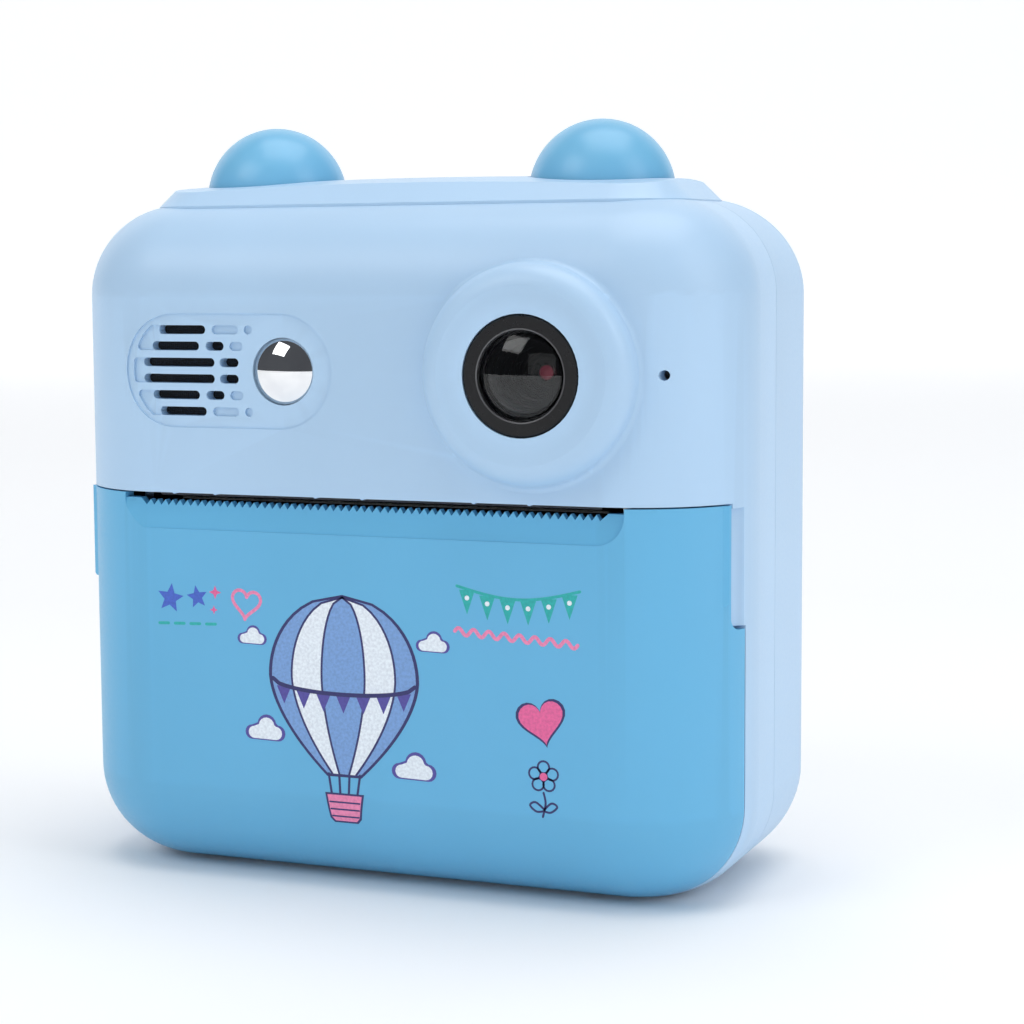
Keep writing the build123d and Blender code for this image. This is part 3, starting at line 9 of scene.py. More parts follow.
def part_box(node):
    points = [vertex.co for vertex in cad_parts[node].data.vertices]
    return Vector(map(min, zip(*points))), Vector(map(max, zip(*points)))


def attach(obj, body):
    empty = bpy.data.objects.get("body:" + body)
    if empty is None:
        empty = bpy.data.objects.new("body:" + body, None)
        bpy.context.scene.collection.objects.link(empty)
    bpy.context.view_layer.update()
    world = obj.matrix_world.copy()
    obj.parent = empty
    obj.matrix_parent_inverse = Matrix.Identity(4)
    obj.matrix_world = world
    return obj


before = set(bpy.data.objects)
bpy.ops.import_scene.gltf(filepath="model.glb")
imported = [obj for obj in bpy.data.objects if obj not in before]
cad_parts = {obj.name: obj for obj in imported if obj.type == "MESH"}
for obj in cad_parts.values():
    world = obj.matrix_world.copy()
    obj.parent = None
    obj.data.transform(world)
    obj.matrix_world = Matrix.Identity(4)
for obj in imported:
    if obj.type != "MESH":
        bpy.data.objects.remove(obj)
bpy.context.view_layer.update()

MM = 0.001

# ---------------------------------------------------------------- places, worked out from the frame
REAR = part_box("rear_shell")
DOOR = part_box("paper_door")
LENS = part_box("lens_cover")
LENS_MIDDLE = (LENS[0] + LENS[1]) / 2
FRONT_Y = DOOR[0].y
BASE_Z = REAR[0].z
BOTTOM_ROUND = 12 * MM
LAYER_RATE = 5200.0  # turns the roll's radius in metres into rings fine enough to read as layers

# ---------------------------------------------------------------- studio
CAMERA_PLACE = Vector((119.69, -280.75, 77.79)) * MM
CAMERA_AZIMUTH = 23.09
CAMERA_ELEVATION = 5.872
CAMERA_ROLL = -0.542
CAMERA_LENS = 84.62
CAMERA_SHIFT = (0.0734, -0.0138)


# ================================================================ material helpers
class Maker:
    """A node material in the making."""

    def __init__(self, name):
        self.material = bpy.data.materials.new(name)
        self.material.use_nodes = True
        self.tree = self.material.node_tree
        self.shader = self.tree.nodes["Principled BSDF"]
        coordinates = self.tree.nodes.new("ShaderNodeTexCoord")
        self.place = coordinates.outputs["Object"]

    def node(self, kind, inputs=None, **settings):
        made = self.tree.nodes.new(kind)
        for key, value in settings.items():
            setattr(made, key, value)
        for key, value in (inputs or {}).items():
            if isinstance(value, bpy.types.NodeSocket):
                self.tree.links.new(value, made.inputs[key])
            else:
                made.inputs[key].default_value = value
        return made

    def stretched(self, scale):
        """Object coordinates, in millimetres, stretched by scale."""
        mapping = self.node("ShaderNodeMapping", {"Vector": self.place})
        mapping.inputs["Scale"].default_value = [value / MM for value in scale]
        return mapping.outputs["Vector"]

    def noise(self, size, detail=2.0, scale=(1, 1, 1), rough=0.5):
        """Noise with features of about the given size in millimetres."""
        vector = self.stretched([value / size for value in scale])
        inputs = {"Vector": vector, "Scale": 1.0, "Detail": detail, "Roughness": rough}
        return self.node("ShaderNodeTexNoise", inputs).outputs["Fac"]

    def ramp(self, value, low, high, start=0.35, end=0.65):
        """Maps a noise value to a number between low and high."""
        inputs = {"Value": value, "From Min": start, "From Max": end, "To Min": low, "To Max": high}
        return self.node("ShaderNodeMapRange", inputs).outputs["Result"]

    def mix(self, factor, first, second):
        made = self.node("ShaderNodeMix", data_type="RGBA")
        for socket, value in (("Factor", factor), ("A", first), ("B", second)):
            target = next(s for s in made.inputs if s.name == socket and s.enabled)
            if isinstance(value, bpy.types.NodeSocket):
                self.tree.links.new(value, target)
            else:
                target.default_value = value
        return next(s for s in made.outputs if s.enabled)

    def bump(self, height, distance, strength=1.0, after=None):
        """Bump of the given depth in millimetres."""
        inputs = {"Height": height, "Distance": distance * MM, "Strength": strength}
        if after is not None:
            inputs["Normal"] = after
        return self.node("ShaderNodeBump", inputs).outputs["Normal"]

    def arithmetic(self, operation, *values):
        """Result of a Math node."""
        return self.node("ShaderNodeMath", dict(enumerate(values)), operation=operation).outputs[0]

    def distance_from(self, centre, keep):
        """Distance from a point, or from a line through it where keep is 0 along the line."""
        kind = "ShaderNodeVectorMath"
        offset = self.node(kind, {0: self.place, 1: -Vector(centre)}, operation="ADD").outputs[0]
        flat = self.node(kind, {0: offset, 1: keep}, operation="MULTIPLY").outputs[0]
        return self.node(kind, {0: flat}, operation="LENGTH").outputs["Value"]

    def finish(self, **inputs):
        for key, value in inputs.items():
            socket = self.shader.inputs[key.replace("_", " ")]
            if isinstance(value, bpy.types.NodeSocket):
                self.tree.links.new(value, socket)
            else:
                socket.default_value = value
        return self.material


def shade(colour, factor):
    return tuple(min(1.0, channel * factor) for channel in colour[:3]) + (1.0,)


def moulded_plastic(name, colour, roughness, grain=0.5, grain_size=0.22, sheen=0.12, glow=0.05):
    """Injection-moulded plastic: faint flow shading, fine surface grain and paler edges."""
    m = Maker(name)
    flow = m.ramp(m.noise(26, 2.0, (1, 1, 0.5)), 0.0, 1.0)
    base = m.mix(flow, shade(colour, 0.972), shade(colour, 1.022))
    edges = m.node("ShaderNodeNewGeometry").outputs["Pointiness"]
    base = m.mix(m.ramp(edges, 0.0, 0.35, 0.505, 0.56), base, shade(colour, 1.16))
    specks = m.ramp(m.noise(grain_size * 2.2, 3.0), roughness - 0.035, roughness + 0.045)
    fine = m.noise(grain_size, 3.0)
    broad = m.noise(7.0, 1.0)
    normal = m.bump(broad, 0.02, 0.25)
    normal = m.bump(fine, 0.006, grain, normal)
    return m.finish(Base_Color=base, Roughness=specks, Normal=normal, Subsurface_Weight=glow,
                    Subsurface_Radius=(1.6 * MM, 1.2 * MM, 1.0 * MM), Subsurface_Scale=1.0,
                    Coat_Weight=sheen, Coat_Roughness=0.22)


def dark_plastic(name, colour, roughness, grain=0.6, specular=0.5):
    m = Maker(name)
    base = m.mix(m.ramp(m.noise(9, 3.0), 0.0, 1.0), shade(colour, 0.85), shade(colour, 1.2))
    rough = m.ramp(m.noise(0.6, 3.0), roughness - 0.06, roughness + 0.06)
    return m.finish(Base_Color=base, Roughness=rough, Specular_IOR_Level=specular,
                    Normal=m.bump(m.noise(0.16, 3.0), 0.006, grain))


def brushed_metal(name, colour, roughness, along=(0.04, 1, 1), scratch=0.35):
    """Metal with fine drawn lines; along is small in the direction the lines run."""
    m = Maker(name)
    lines = m.noise(0.12, 4.0, along, 0.7)
    stain = m.ramp(m.noise(5, 3.0), 0.0, 1.0)
    base = m.mix(stain, shade(colour, 0.86), shade(colour, 1.08))
    rough = m.ramp(lines, roughness - 0.08, roughness + 0.12)
    return m.finish(Base_Color=base, Metallic=1.0, Roughness=rough, Normal=m.bump(lines, 0.004, scratch))


def chrome(name):
    """Polished plating with the faintest ripple and hairlines."""
    m = Maker(name)
    hair = m.noise(0.3, 5.0, (0.05, 1, 1), 0.7)
    rough = m.ramp(hair, 0.015, 0.05)
    base = m.mix(m.ramp(m.noise(3, 2.0), 0.0, 1.0), (0.80, 0.81, 0.83, 1), (0.90, 0.91, 0.92, 1))
    ripple = m.bump(m.noise(2.5, 1.0), 0.004, 0.35)
    return m.finish(Base_Color=base, Metallic=1.0, Roughness=rough, Normal=ripple)


def clear_plastic(name, tint, roughness, ior):
    m = Maker(name)
    smear = m.ramp(m.noise(4, 4.0), roughness, roughness + 0.03)
    return m.finish(Base_Color=tint, Roughness=smear, Transmission_Weight=1.0, IOR=ior,
                    Normal=m.bump(m.noise(3, 1.0), 0.002, 0.3))


def coated_glass(name):
    """Lens glass: black towards the rim, with a painted red reflection in the middle that shifts with the
    angle.
    """
    m = Maker(name)
    radius = m.distance_from(LENS_MIDDLE, (1, 0, 1))
    facing = m.node("ShaderNodeLayerWeight", {"Blend": 0.35}).outputs["Facing"]
    # painted reflection: the coating's red glint is painted into the base colour, brightest where the glass
    # faces the camera
    painted_red_reflection = m.mix(facing, (0.620, 0.040, 0.095, 1), (0.200, 0.012, 0.040, 1))
    painted_red_reflection = m.mix(m.ramp(m.noise(2.0, 2.0), 0.0, 0.3), painted_red_reflection, (0.05, 0.02, 0.03, 1))
    base = m.mix(m.ramp(radius, 0.0, 1.0, 0.72 * MM, 0.92 * MM), painted_red_reflection, (0.004, 0.004, 0.006, 1))
    return m.finish(Base_Color=base, Roughness=0.06, Specular_IOR_Level=0.35,
                    Specular_Tint=(1.0, 0.45, 0.5, 1.0))


def rubber(name, colour):
    m = Maker(name)
    dust = m.ramp(m.noise(1.2, 5.0), 0.0, 0.5, 0.5, 0.75)
    base = m.mix(dust, colour, shade(colour, 1.9))
    return m.finish(Base_Color=base, Roughness=m.ramp(m.noise(0.4, 4.0), 0.6, 0.85),
                    Normal=m.bump(m.noise(0.12, 3.0), 0.01, 0.6))


def thermal_paper(name):
    """Smooth coated paper with faint fibres; on the roll's ends the layers show as fine rings."""
    m = Maker(name)
    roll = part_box("paper_roll")
    centre = (roll[0] + roll[1]) / 2
    radius = m.distance_from(centre, (0, 1, 1))
    wave = m.arithmetic("SINE", m.arithmetic("MULTIPLY", radius, LAYER_RATE))
    normal = m.node("ShaderNodeNewGeometry").outputs["Normal"]
    across = m.node("ShaderNodeSeparateXYZ", {0: normal}).outputs[0]
    ends = m.arithmetic("GREATER_THAN", m.arithmetic("ABSOLUTE", across), 0.8)
    tint = m.arithmetic("MULTIPLY", m.ramp(wave, 0.0, 1.0, -1, 1), ends)
    fibres = m.noise(0.5, 5.0, (0.3, 1, 1), 0.7)
    base = m.mix(tint, (0.90, 0.90, 0.88, 1), (0.66, 0.66, 0.63, 1))
    return m.finish(Base_Color=base, Roughness=m.ramp(fibres, 0.45, 0.6), Normal=m.bump(fibres, 0.008, 0.5),
                    Subsurface_Weight=0.05, Subsurface_Radius=(MM, MM, MM), Subsurface_Scale=1.0)


def cardboard(name):
    m = Maker(name)
    fibres = m.noise(0.7, 6.0, (0.25, 1, 1), 0.7)
    base = m.mix(m.ramp(fibres, 0.0, 1.0), (0.38, 0.27, 0.16, 1), (0.62, 0.49, 0.34, 1))
    return m.finish(Base_Color=base, Roughness=0.85, Normal=m.bump(fibres, 0.05, 0.6))


def circuit_board(name, colour):
    """Solder mask over copper tracks: square-cut noise reads as traces, pale dots as pads."""
    m = Maker(name)
    vector = m.stretched((0.55, 0.55, 0.55))
    cells = m.node("ShaderNodeTexVoronoi", {"Vector": vector, "Scale": 1.0}, distance="MANHATTAN")
    tracks = m.ramp(cells.outputs["Distance"], 0.0, 1.0, 0.18, 0.22)
    base = m.mix(tracks, shade(colour, 1.7), colour)
    pads = m.node("ShaderNodeTexVoronoi", {"Vector": m.stretched((0.4, 0.4, 0.4)), "Scale": 1.0})
    metal = m.ramp(pads.outputs["Distance"], 1.0, 0.0, 0.14, 0.17)
    base = m.mix(metal, base, (0.72, 0.66, 0.5, 1))
    return m.finish(Base_Color=base, Roughness=0.32, Metallic=metal, Coat_Weight=0.5,
                    Normal=m.bump(cells.outputs["Distance"], 0.02, 0.4))


def chip_surface(name):
    m = Maker(name)
    grain = m.noise(0.1, 3.0)
    base = m.mix(m.ramp(m.noise(2.5, 3.0), 0.0, 1.0), (0.02, 0.02, 0.022, 1), (0.05, 0.05, 0.055, 1))
    return m.finish(Base_Color=base, Roughness=m.ramp(grain, 0.5, 0.7), Normal=m.bump(grain, 0.01, 0.5))


def foil_wrap(name, colour):
    """Crinkled plastic-and-foil skin of a pouch cell."""
    m = Maker(name)
    folds = m.noise(3.0, 4.0, (0.5, 1, 1), 0.6)
    base = m.mix(m.ramp(folds, 0.0, 1.0), shade(colour, 0.75), shade(colour, 1.2))
    return m.finish(Base_Color=base, Metallic=0.65, Roughness=m.ramp(folds, 0.22, 0.4),
                    Normal=m.bump(folds, 0.15, 0.6))


def woven_cloth(name, colour):
    """Open black acoustic cloth."""
    m = Maker(name)
    threads = {"Vector": m.stretched((1, 1, 1)), "Scale": 1.1}
    waves = [m.node("ShaderNodeTexWave", threads, bands_direction=way).outputs["Fac"] for way in "XZ"]
    weave = m.arithmetic("MULTIPLY", *waves)
    base = m.mix(weave, colour, shade(colour, 2.4))
    return m.finish(Base_Color=base, Roughness=0.9, Normal=m.bump(weave, 0.08, 0.8), Sheen_Weight=0.3)


def ceramic(name):
    m = Maker(name)
    base = m.mix(m.ramp(m.noise(6, 3.0, (0.2, 1, 1)), 0.0, 1.0), (0.05, 0.045, 0.05, 1), (0.11, 0.1, 0.1, 1))
    return m.finish(Base_Color=base, Roughness=m.ramp(m.noise(0.5, 3.0), 0.12, 0.26), Coat_Weight=0.6)


def print_ink(name, colour, roughness=0.34):
    """Pad-printed ink: the dots and weave of the print screen show as a fine mottle."""
    m = Maker(name)
    dots = m.noise(0.35, 3.0)
    base = m.mix(m.ramp(dots, 0.0, 1.0), shade(colour, 0.9), shade(colour, 1.1))
    rough = m.ramp(dots, roughness - 0.05, roughness + 0.08)
    return m.finish(Base_Color=base, Roughness=rough, Normal=m.bump(dots, 0.004, 0.5))


def screen_glow(name, colour, strength):
    """Lit picture area with the faint grid of the display's dots."""
    m = Maker(name)
    cells = m.node("ShaderNodeTexVoronoi", {"Vector": m.stretched((4, 4, 4)), "Scale": 1.0})
    base = m.mix(m.ramp(cells.outputs["Distance"], 0.0, 0.25, 0.2, 0.7), colour, shade(colour, 0.6))
    return m.finish(Base_Color=shade(colour, 0.25), Emission_Color=base, Emission_Strength=strength,
                    Roughness=0.2)


# ================================================================ materials of the CAD nodes
SHELL_BLUE = (0.435, 0.622, 0.820, 1)
DOOR_BLUE = (0.124, 0.440, 0.700, 1)
EAR_BLUE = (0.170, 0.470, 0.710, 1)
NAVY = (0.030, 0.030, 0.140, 1)

SHELL_PLASTIC = moulded_plastic("shell_plastic", SHELL_BLUE, 0.40)
DOOR_PLASTIC = moulded_plastic("door_plastic", DOOR_BLUE, 0.38)
EAR_PLASTIC = moulded_plastic("ear_plastic", EAR_BLUE, 0.34, grain=0.25)
BLACK_GLOSS = dark_plastic("black_gloss", (0.007, 0.007, 0.008, 1), 0.33, 0.08, 0.4)
BARREL_BLACK = dark_plastic("barrel_black", (0.0015, 0.0015, 0.002, 1), 0.8, 0.3, 0.04)
GREY_PLASTIC = dark_plastic("grey_plastic", (0.050, 0.054, 0.064, 1), 0.55)
BUSH_PLASTIC = dark_plastic("bush_plastic", (0.16, 0.16, 0.17, 1), 0.45)
KEY_PLASTIC = moulded_plastic("key_plastic", (0.82, 0.84, 0.86, 1), 0.33, grain=0.35)
GEAR_PLASTIC = moulded_plastic("gear_plastic", (0.80, 0.78, 0.70, 1), 0.42, grain=0.3)
CLEAR_GLASS = clear_plastic("clear_glass", (0.93, 0.96, 0.98, 1), 0.015, 1.38)
LENS_GLASS = coated_glass("lens_glass")
MIRROR_CHROME = chrome("mirror_chrome")
STEEL = brushed_metal("steel", (0.56, 0.57, 0.59, 1), 0.30)
SCREW_STEEL = brushed_metal("screw_steel", (0.40, 0.41, 0.43, 1), 0.34, (1, 1, 1), 0.2)
ALUMINIUM = brushed_metal("aluminium", (0.76, 0.77, 0.79, 1), 0.32)
BRASS = brushed_metal("brass", (0.72, 0.55, 0.24, 1), 0.28, (1, 0.1, 1))
RUBBER = rubber("roller_rubber", (0.035, 0.035, 0.037, 1))
PAPER = thermal_paper("thermal_paper")
CORE_BOARD = cardboard("core_board")
GREEN_BOARD = circuit_board("green_board", (0.012, 0.110, 0.045, 1))
BLUE_BOARD = circuit_board("blue_board", (0.012, 0.045, 0.150, 1))
CHIP = chip_surface("chip_surface")
CELL_WRAP = foil_wrap("cell_wrap", (0.42, 0.55, 0.66, 1))
CLOTH = woven_cloth("grille_weave", (0.006, 0.006, 0.007, 1))
CONE = woven_cloth("cone_weave", (0.02, 0.02, 0.022, 1))
HEAD_CERAMIC = ceramic("head_ceramic")
SCREEN_BEZEL = dark_plastic("screen_bezel", (0.010, 0.010, 0.013, 1), 0.18, 0.2)

KEYS = [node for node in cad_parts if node.endswith("_key")]
LOOKS = {
    SHELL_PLASTIC: ["front_shell", "rear_shell", "top_cover"],
    DOOR_PLASTIC: ["paper_door"],
    EAR_PLASTIC: ["shutter_ear_button", "print_ear_button"],
    BLACK_GLOSS: ["lens_bezel"],
    BARREL_BLACK: ["lens_barrel", "sensor_holder"],
    GREY_PLASTIC: ["paper_bin", "speaker_frame"],
    BUSH_PLASTIC: ["platen_bushes"],
    KEY_PLASTIC: KEYS,
    GEAR_PLASTIC: ["platen_gear", "idler_gear", "compound_gear"],
    CLEAR_GLASS: ["lens_cover", "screen_window"],
    LENS_GLASS: ["lens_element"],
    MIRROR_CHROME: ["selfie_mirror"],
    STEEL: ["hinge_pins", "shutter_spring", "print_spring", "head_springs", "strap_pin", "platen_shaft",
            "chassis_pins", "stepper_motor", "printer_chassis", "usb_socket", "card_socket", "contact_domes"],
    SCREW_STEEL: ["shell_screws", "board_screws"],
    ALUMINIUM: ["head_heat_sink", "microphone"],
    BRASS: ["motor_pinion"],
    RUBBER: ["platen_roller"],
    PAPER: ["paper_roll", "paper_web"],
    CORE_BOARD: ["roll_core"],
    GREEN_BOARD: ["ear_switch_board", "sensor_board", "keypad_board"],
    BLUE_BOARD: ["main_board"],
    CHIP: ["main_board_chips", "memory_card"],
    CELL_WRAP: ["battery"],
    CLOTH: ["grille_cloth"],
    CONE: ["speaker_cone"],
    HEAD_CERAMIC: ["thermal_head"],
    SCREEN_BEZEL: ["display_panel"],
}
for look, names in LOOKS.items():
    for name in names:
        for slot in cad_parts[name].material_slots:
            slot.material = look


# ================================================================ mesh helpers
def new_piece(name, mesh, material, body):
    """Links a finished bmesh as a piece that rides on a body."""
    bmesh.ops.recalc_face_normals(mesh, faces=mesh.faces)
    data = bpy.data.meshes.new(name)
    mesh.to_mesh(data)
    mesh.free()
    piece = bpy.data.objects.new(name, data)
    bpy.context.scene.collection.objects.link(piece)
    data.materials.append(material)
    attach(piece, body)
    return piece


def door_skin_y(z):
    """Depth of the door's outer face at a height: flat, then round towards the bottom edge."""
    centre_z = BASE_Z + BOTTOM_ROUND
    drop = max(0.0, min(centre_z - z, BOTTOM_ROUND * 0.9))
    return FRONT_Y + BOTTOM_ROUND - math.sqrt(BOTTOM_ROUND ** 2 - drop ** 2)


def flat_skin(y):
    """A flat face at one depth."""
    return lambda z: y


def circle_points(x, z, radius_x, radius_z=None, count=28, start=0.0, sweep=360.0):
    radius_z = radius_z or radius_x
    whole = abs(sweep) >= 360
    steps = count if whole else count - 1
    angles = [math.radians(start + sweep * i / steps) for i in range(count)]
    return [(x + radius_x * math.cos(a), z + radius_z * math.sin(a)) for a in angles]


def stroke_outline(points, width):
    """Outline of a pen stroke of constant width along a line, with round ends."""
    half = width / 2
    left, right = [], []
    for i, (x, z) in enumerate(points):
        before = points[max(0, i - 1)]
        after = points[min(len(points) - 1, i + 1)]
        run = Vector((after[0] - before[0], after[1] - before[1])).normalized()
        left.append((x - run.y * half, z + run.x * half))
        right.append((x + run.y * half, z - run.x * half))

    def cap(point, towards):
        start = math.atan2(towards.y, towards.x) + math.pi / 2
        turns = [start - math.pi * i / 5 for i in range(1, 5)]
        return [(point[0] + half * math.cos(a), point[1] + half * math.sin(a)) for a in turns]

    tail = Vector((points[-1][0] - points[-2][0], points[-1][1] - points[-2][1]))
    head = Vector((points[0][0] - points[1][0], points[0][1] - points[1][1]))
    return left + cap(points[-1], tail) + right[::-1] + cap(points[0], head)


def stroke_loop(points, width):
    """Outlines of the short pieces that make up a closed pen line."""
    half = width / 2
    rails = []
    for i, (x, z) in enumerate(points):
        before, after = points[i - 1], points[(i + 1) % len(points)]
        run = Vector((after[0] - before[0], after[1] - before[1])).normalized()
        rails.append(((x - run.y * half, z + run.x * half), (x + run.y * half, z - run.x * half)))
    return [[a[0], b[0], b[1], a[1]] for a, b in zip(rails, rails[1:] + rails[:1])]


def smooth_line(points, steps=8):
    """Catmull-Rom curve through a few points."""
    ends = [points[0]] + list(points) + [points[-1]]
    line = []
    for a, b, c, d in zip(ends, ends[1:], ends[2:], ends[3:]):
        for i in range(steps):
            t = i / steps
            line.append(tuple(
                0.5 * (2 * b[k] + (c[k] - a[k]) * t + (2 * a[k] - 5 * b[k] + 4 * c[k] - d[k]) * t * t
                       + (3 * b[k] - a[k] - 3 * c[k] + d[k]) * t ** 3) for k in (0, 1)))
    return line + [points[-1]]


def add_plate(mesh, outline, layer, skin=door_skin_y, out=-1):
    """Adds one thin closed plate of ink to a mesh. The outline is in millimetres, as seen from the front.

    A higher layer lies on top. skin gives the depth of the face at a height, and out is -1 on a face
    that looks forwards and 1 on one that looks backwards.
    """
    base, top = out * 0.002 * MM, out * (0.010 + 0.007 * layer) * MM
    flat = bmesh.new()
    flat.faces.new([flat.verts.new((x * MM, 0, z * MM)) for x, z in outline])
    flat.normal_update()
    lowest = min(z for x, z in outline) * MM
    if skin is door_skin_y and lowest < BASE_Z + BOTTOM_ROUND:
        step = 0.8 * MM
        cut = lowest + step
        while cut < BASE_Z + BOTTOM_ROUND + step:
            geometry = flat.verts[:] + flat.edges[:] + flat.faces[:]
            bmesh.ops.bisect_plane(flat, geom=geometry, plane_co=(0, 0, cut), plane_no=(0, 0, 1))
            cut += step
    bmesh.ops.triangulate(flat, faces=flat.faces, ngon_method="EAR_CLIP")
    back = {v: mesh.verts.new((v.co.x, skin(v.co.z) + base, v.co.z)) for v in flat.verts}
    front = {v: mesh.verts.new((v.co.x, skin(v.co.z) + top, v.co.z)) for v in flat.verts}
    for face in flat.faces:
        mesh.faces.new([front[v] for v in face.verts])
        mesh.faces.new([back[v] for v in reversed(face.verts)])
    for edge in flat.edges:
        if len(edge.link_faces) == 1:
            a, b = edge.verts
            mesh.faces.new([front[a], front[b], back[b], back[a]])
    flat.free()


def ink(name, outlines, material, layer=0):
    """A printed shape, or several in one ink, on the door."""
    mesh = bmesh.new()
    for outline in outlines:
        add_plate(mesh, outline, layer)
    return new_piece("print_" + name, mesh, material, "door")


def rear_ink(name, outlines, material, y, body, layer=0):
    """A printed or lit shape on a flat face that looks backwards."""
    mesh = bmesh.new()
    for outline in outlines:
        add_plate(mesh, outline, layer, flat_skin(y), 1)
    return new_piece(name, mesh, material, body)


# ================================================================ printed artwork on the door
INK_PERIWINKLE = print_ink("ink_periwinkle", (0.190, 0.350, 0.660, 1))
INK_WHITE = print_ink("ink_white", (0.800, 0.860, 0.930, 1))
INK_NAVY = print_ink("ink_navy", NAVY)
INK_VIOLET = print_ink("ink_violet", (0.085, 0.070, 0.330, 1))
INK_PINK = print_ink("ink_pink", (0.800, 0.130, 0.330, 1))
INK_ROSE = print_ink("ink_rose", (0.830, 0.240, 0.430, 1))
INK_BLUE = print_ink("ink_blue", (0.060, 0.130, 0.560, 1))
INK_TEAL = print_ink("ink_teal", (0.020, 0.420, 0.400, 1))


def balloon_artwork():
    """A striped hot-air balloon, in the place and the size of the door's main picture."""
    x, z = -3.6, 26.4
    wide, high = 9.6, 9.9
    skirt_z = 14.6

    def gore(left, right):
        """One stripe between two fractions of the width."""
        count = 26
        rows = [i / count for i in range(count + 1)]
        edge = []
        for fraction, order in ((left, rows), (right, reversed(rows))):
            for t in order:
                pz = high - t * (high + z - skirt_z)
                reach = wide * math.sqrt(max(0.0, 1 - (pz / high) ** 2)) if pz > 0 else half_width(pz)
                edge.append((x + fraction * reach, z + pz))
        return edge

    def half_width(pz):
        """Half the balloon's width below its widest line."""
        t = -pz / (z - skirt_z)
        return wide + (2.2 - wide) * (t ** 1.7)

    body = gore(-1, 1)
    ink("balloon_outline", [[(x + (px - x) * 1.045, z + (pz - z) * 1.03) for px, pz in body]], INK_NAVY, 0)
    ink("balloon_skin", [body], INK_PERIWINKLE, 1)
    ink("balloon_stripes", [gore(-0.72, -0.30), gore(0.30, 0.72)], INK_WHITE, 2)
    seams = []
    for fraction in (-0.72, -0.30, 0.30, 0.72):
        line = gore(fraction, fraction)[:27]
        seams.append(stroke_outline(line, 0.26))
    ink("balloon_seams", seams, INK_NAVY, 3)
    flags = []
    for i in range(7):
        t = (i + 0.5) / 7 * 2 - 1
        centre = x + t * wide * 0.97
        low = z - 0.6 - 1.5 * math.sqrt(1 - t * t)
        half = 0.98
        flags.append([(centre - half, low), (centre + half, low), (centre, low - 2.2)])
    ink("balloon_flags", flags, INK_VIOLET, 4)
    band = [(x + t / 12 * wide * 0.985, z - 0.5 - 1.5 * math.sqrt(1 - (t / 12) ** 2)) for t in range(-12, 13)]
    ink("balloon_band", [stroke_outline(band, 0.5)], INK_NAVY, 5)
    basket_top, basket_bottom = 12.0, 8.7
    ropes = [stroke_outline([(x + side * 2.1, skirt_z), (x + side * 1.7, basket_top)], 0.3)
             for side in (-1, -0.33, 0.33, 1)]
    ink("balloon_ropes", ropes, INK_NAVY, 1)
    left_edge = [(-2.3, basket_top), (-1.85, basket_bottom + 0.5), (-1.4, basket_bottom)]
    basket = [(x + px, pz) for px, pz in left_edge] + [(x - px, pz) for px, pz in reversed(left_edge)]
    grown = [(x + (px - x) * 1.13, (pz - 10.3) * 1.14 + 10.3) for px, pz in basket]
    ink("basket_outline", [grown], INK_NAVY, 2)
    ink("basket_face", [basket], INK_ROSE, 3)
    rows = [(2.0 - 0.12 * i, 11.1 - 0.9 * i) for i in range(3)]
    weave = [stroke_outline([(x - half, row_z), (x + half, row_z)], 0.2) for half, row_z in rows]
    ink("basket_weave", weave, INK_NAVY, 4)


def cloud_outline(x, z, size):
    """Flat-bottomed cloud from three lobes."""
    lobes = [(x + size, z, size * 0.55, -90, 180), (x + size * 0.15, z + size * 0.55, size * 0.72, 10, 160),
             (x - size, z, size * 0.5, 90, 180)]
    outline = []
    for centre_x, centre_z, radius, start, sweep in lobes:
        outline += circle_points(centre_x, centre_z, radius, None, 9, start, sweep)
    return outline


def cloud_artwork():
    places = [(-14.3, 19.0, 1.5), (5.6, 15.6, 1.6), (8.2, 31.0, 1.2), (-15.9, 30.6, 1.1)]
    ink("cloud_edges", [cloud_outline(x, z, size * 1.2) for x, z, size in places], INK_VIOLET, 0)
    ink("clouds", [cloud_outline(x, z, size) for x, z, size in places], INK_WHITE, 1)


def heart_line(x, z, size, tilt=0.0, count=36):
    """Heart curve of a given width."""
    turn = math.radians(tilt)
    line = []
    for i in range(count):
        t = 2 * math.pi * i / count
        px = 16 * math.sin(t) ** 3 * size / 32
        pz = (13 * math.cos(t) - 5 * math.cos(2 * t) - 2 * math.cos(3 * t) - math.cos(4 * t)) * size / 32
        across, up = px * math.cos(turn) - pz * math.sin(turn), px * math.sin(turn) + pz * math.cos(turn)
        line.append((x + across, z + up))
    return line


def heart_artwork():
    line = heart_line(-16.6, 35.0, 3.9, -6)
    ink("heart_line_right", [stroke_outline(line[1:19], 0.42)], INK_ROSE, 0)
    ink("heart_line_left", [stroke_outline(line[18:], 0.42)], INK_ROSE, 1)
    ink("heart_edge", [heart_line(22.0, 23.0, 6.3, 12)], INK_NAVY, 0)
    ink("heart_fill", [heart_line(22.0, 23.0, 5.6, 12)], INK_PINK, 1)


def star_outline(x, z, size, points=5, inner=0.45, turn=90.0):
    outline = []
    for i in range(points * 2):
        radius = size if i % 2 == 0 else size * inner
        a = math.radians(turn + 180 * i / points)
        outline.append((x + radius * math.cos(a), z + radius * math.sin(a)))
    return outline


def star_artwork():
    """Two stars and a dot over a dashed line, at the door's upper left."""
    stars = [star_outline(-27.2, 35.1, 1.9, turn=82), star_outline(-23.4, 35.4, 1.5, turn=100)]
    ink("stars", stars, INK_BLUE)
    sparks = [star_outline(-20.9, 36.1, 0.85, 4, 0.4), star_outline(-21.1, 33.9, 0.55, 4, 0.4)]
    ink("star_dots", sparks, INK_PINK)
    starts = [(-28.8 + 2.2 * i, 31.9 + 0.06 * i) for i in range(4)]
    dashes = [stroke_outline([(x, z), (x + 1.3, z + 0.05)], 0.36) for x, z in starts]
    ink("star_dashes", dashes, INK_TEAL)


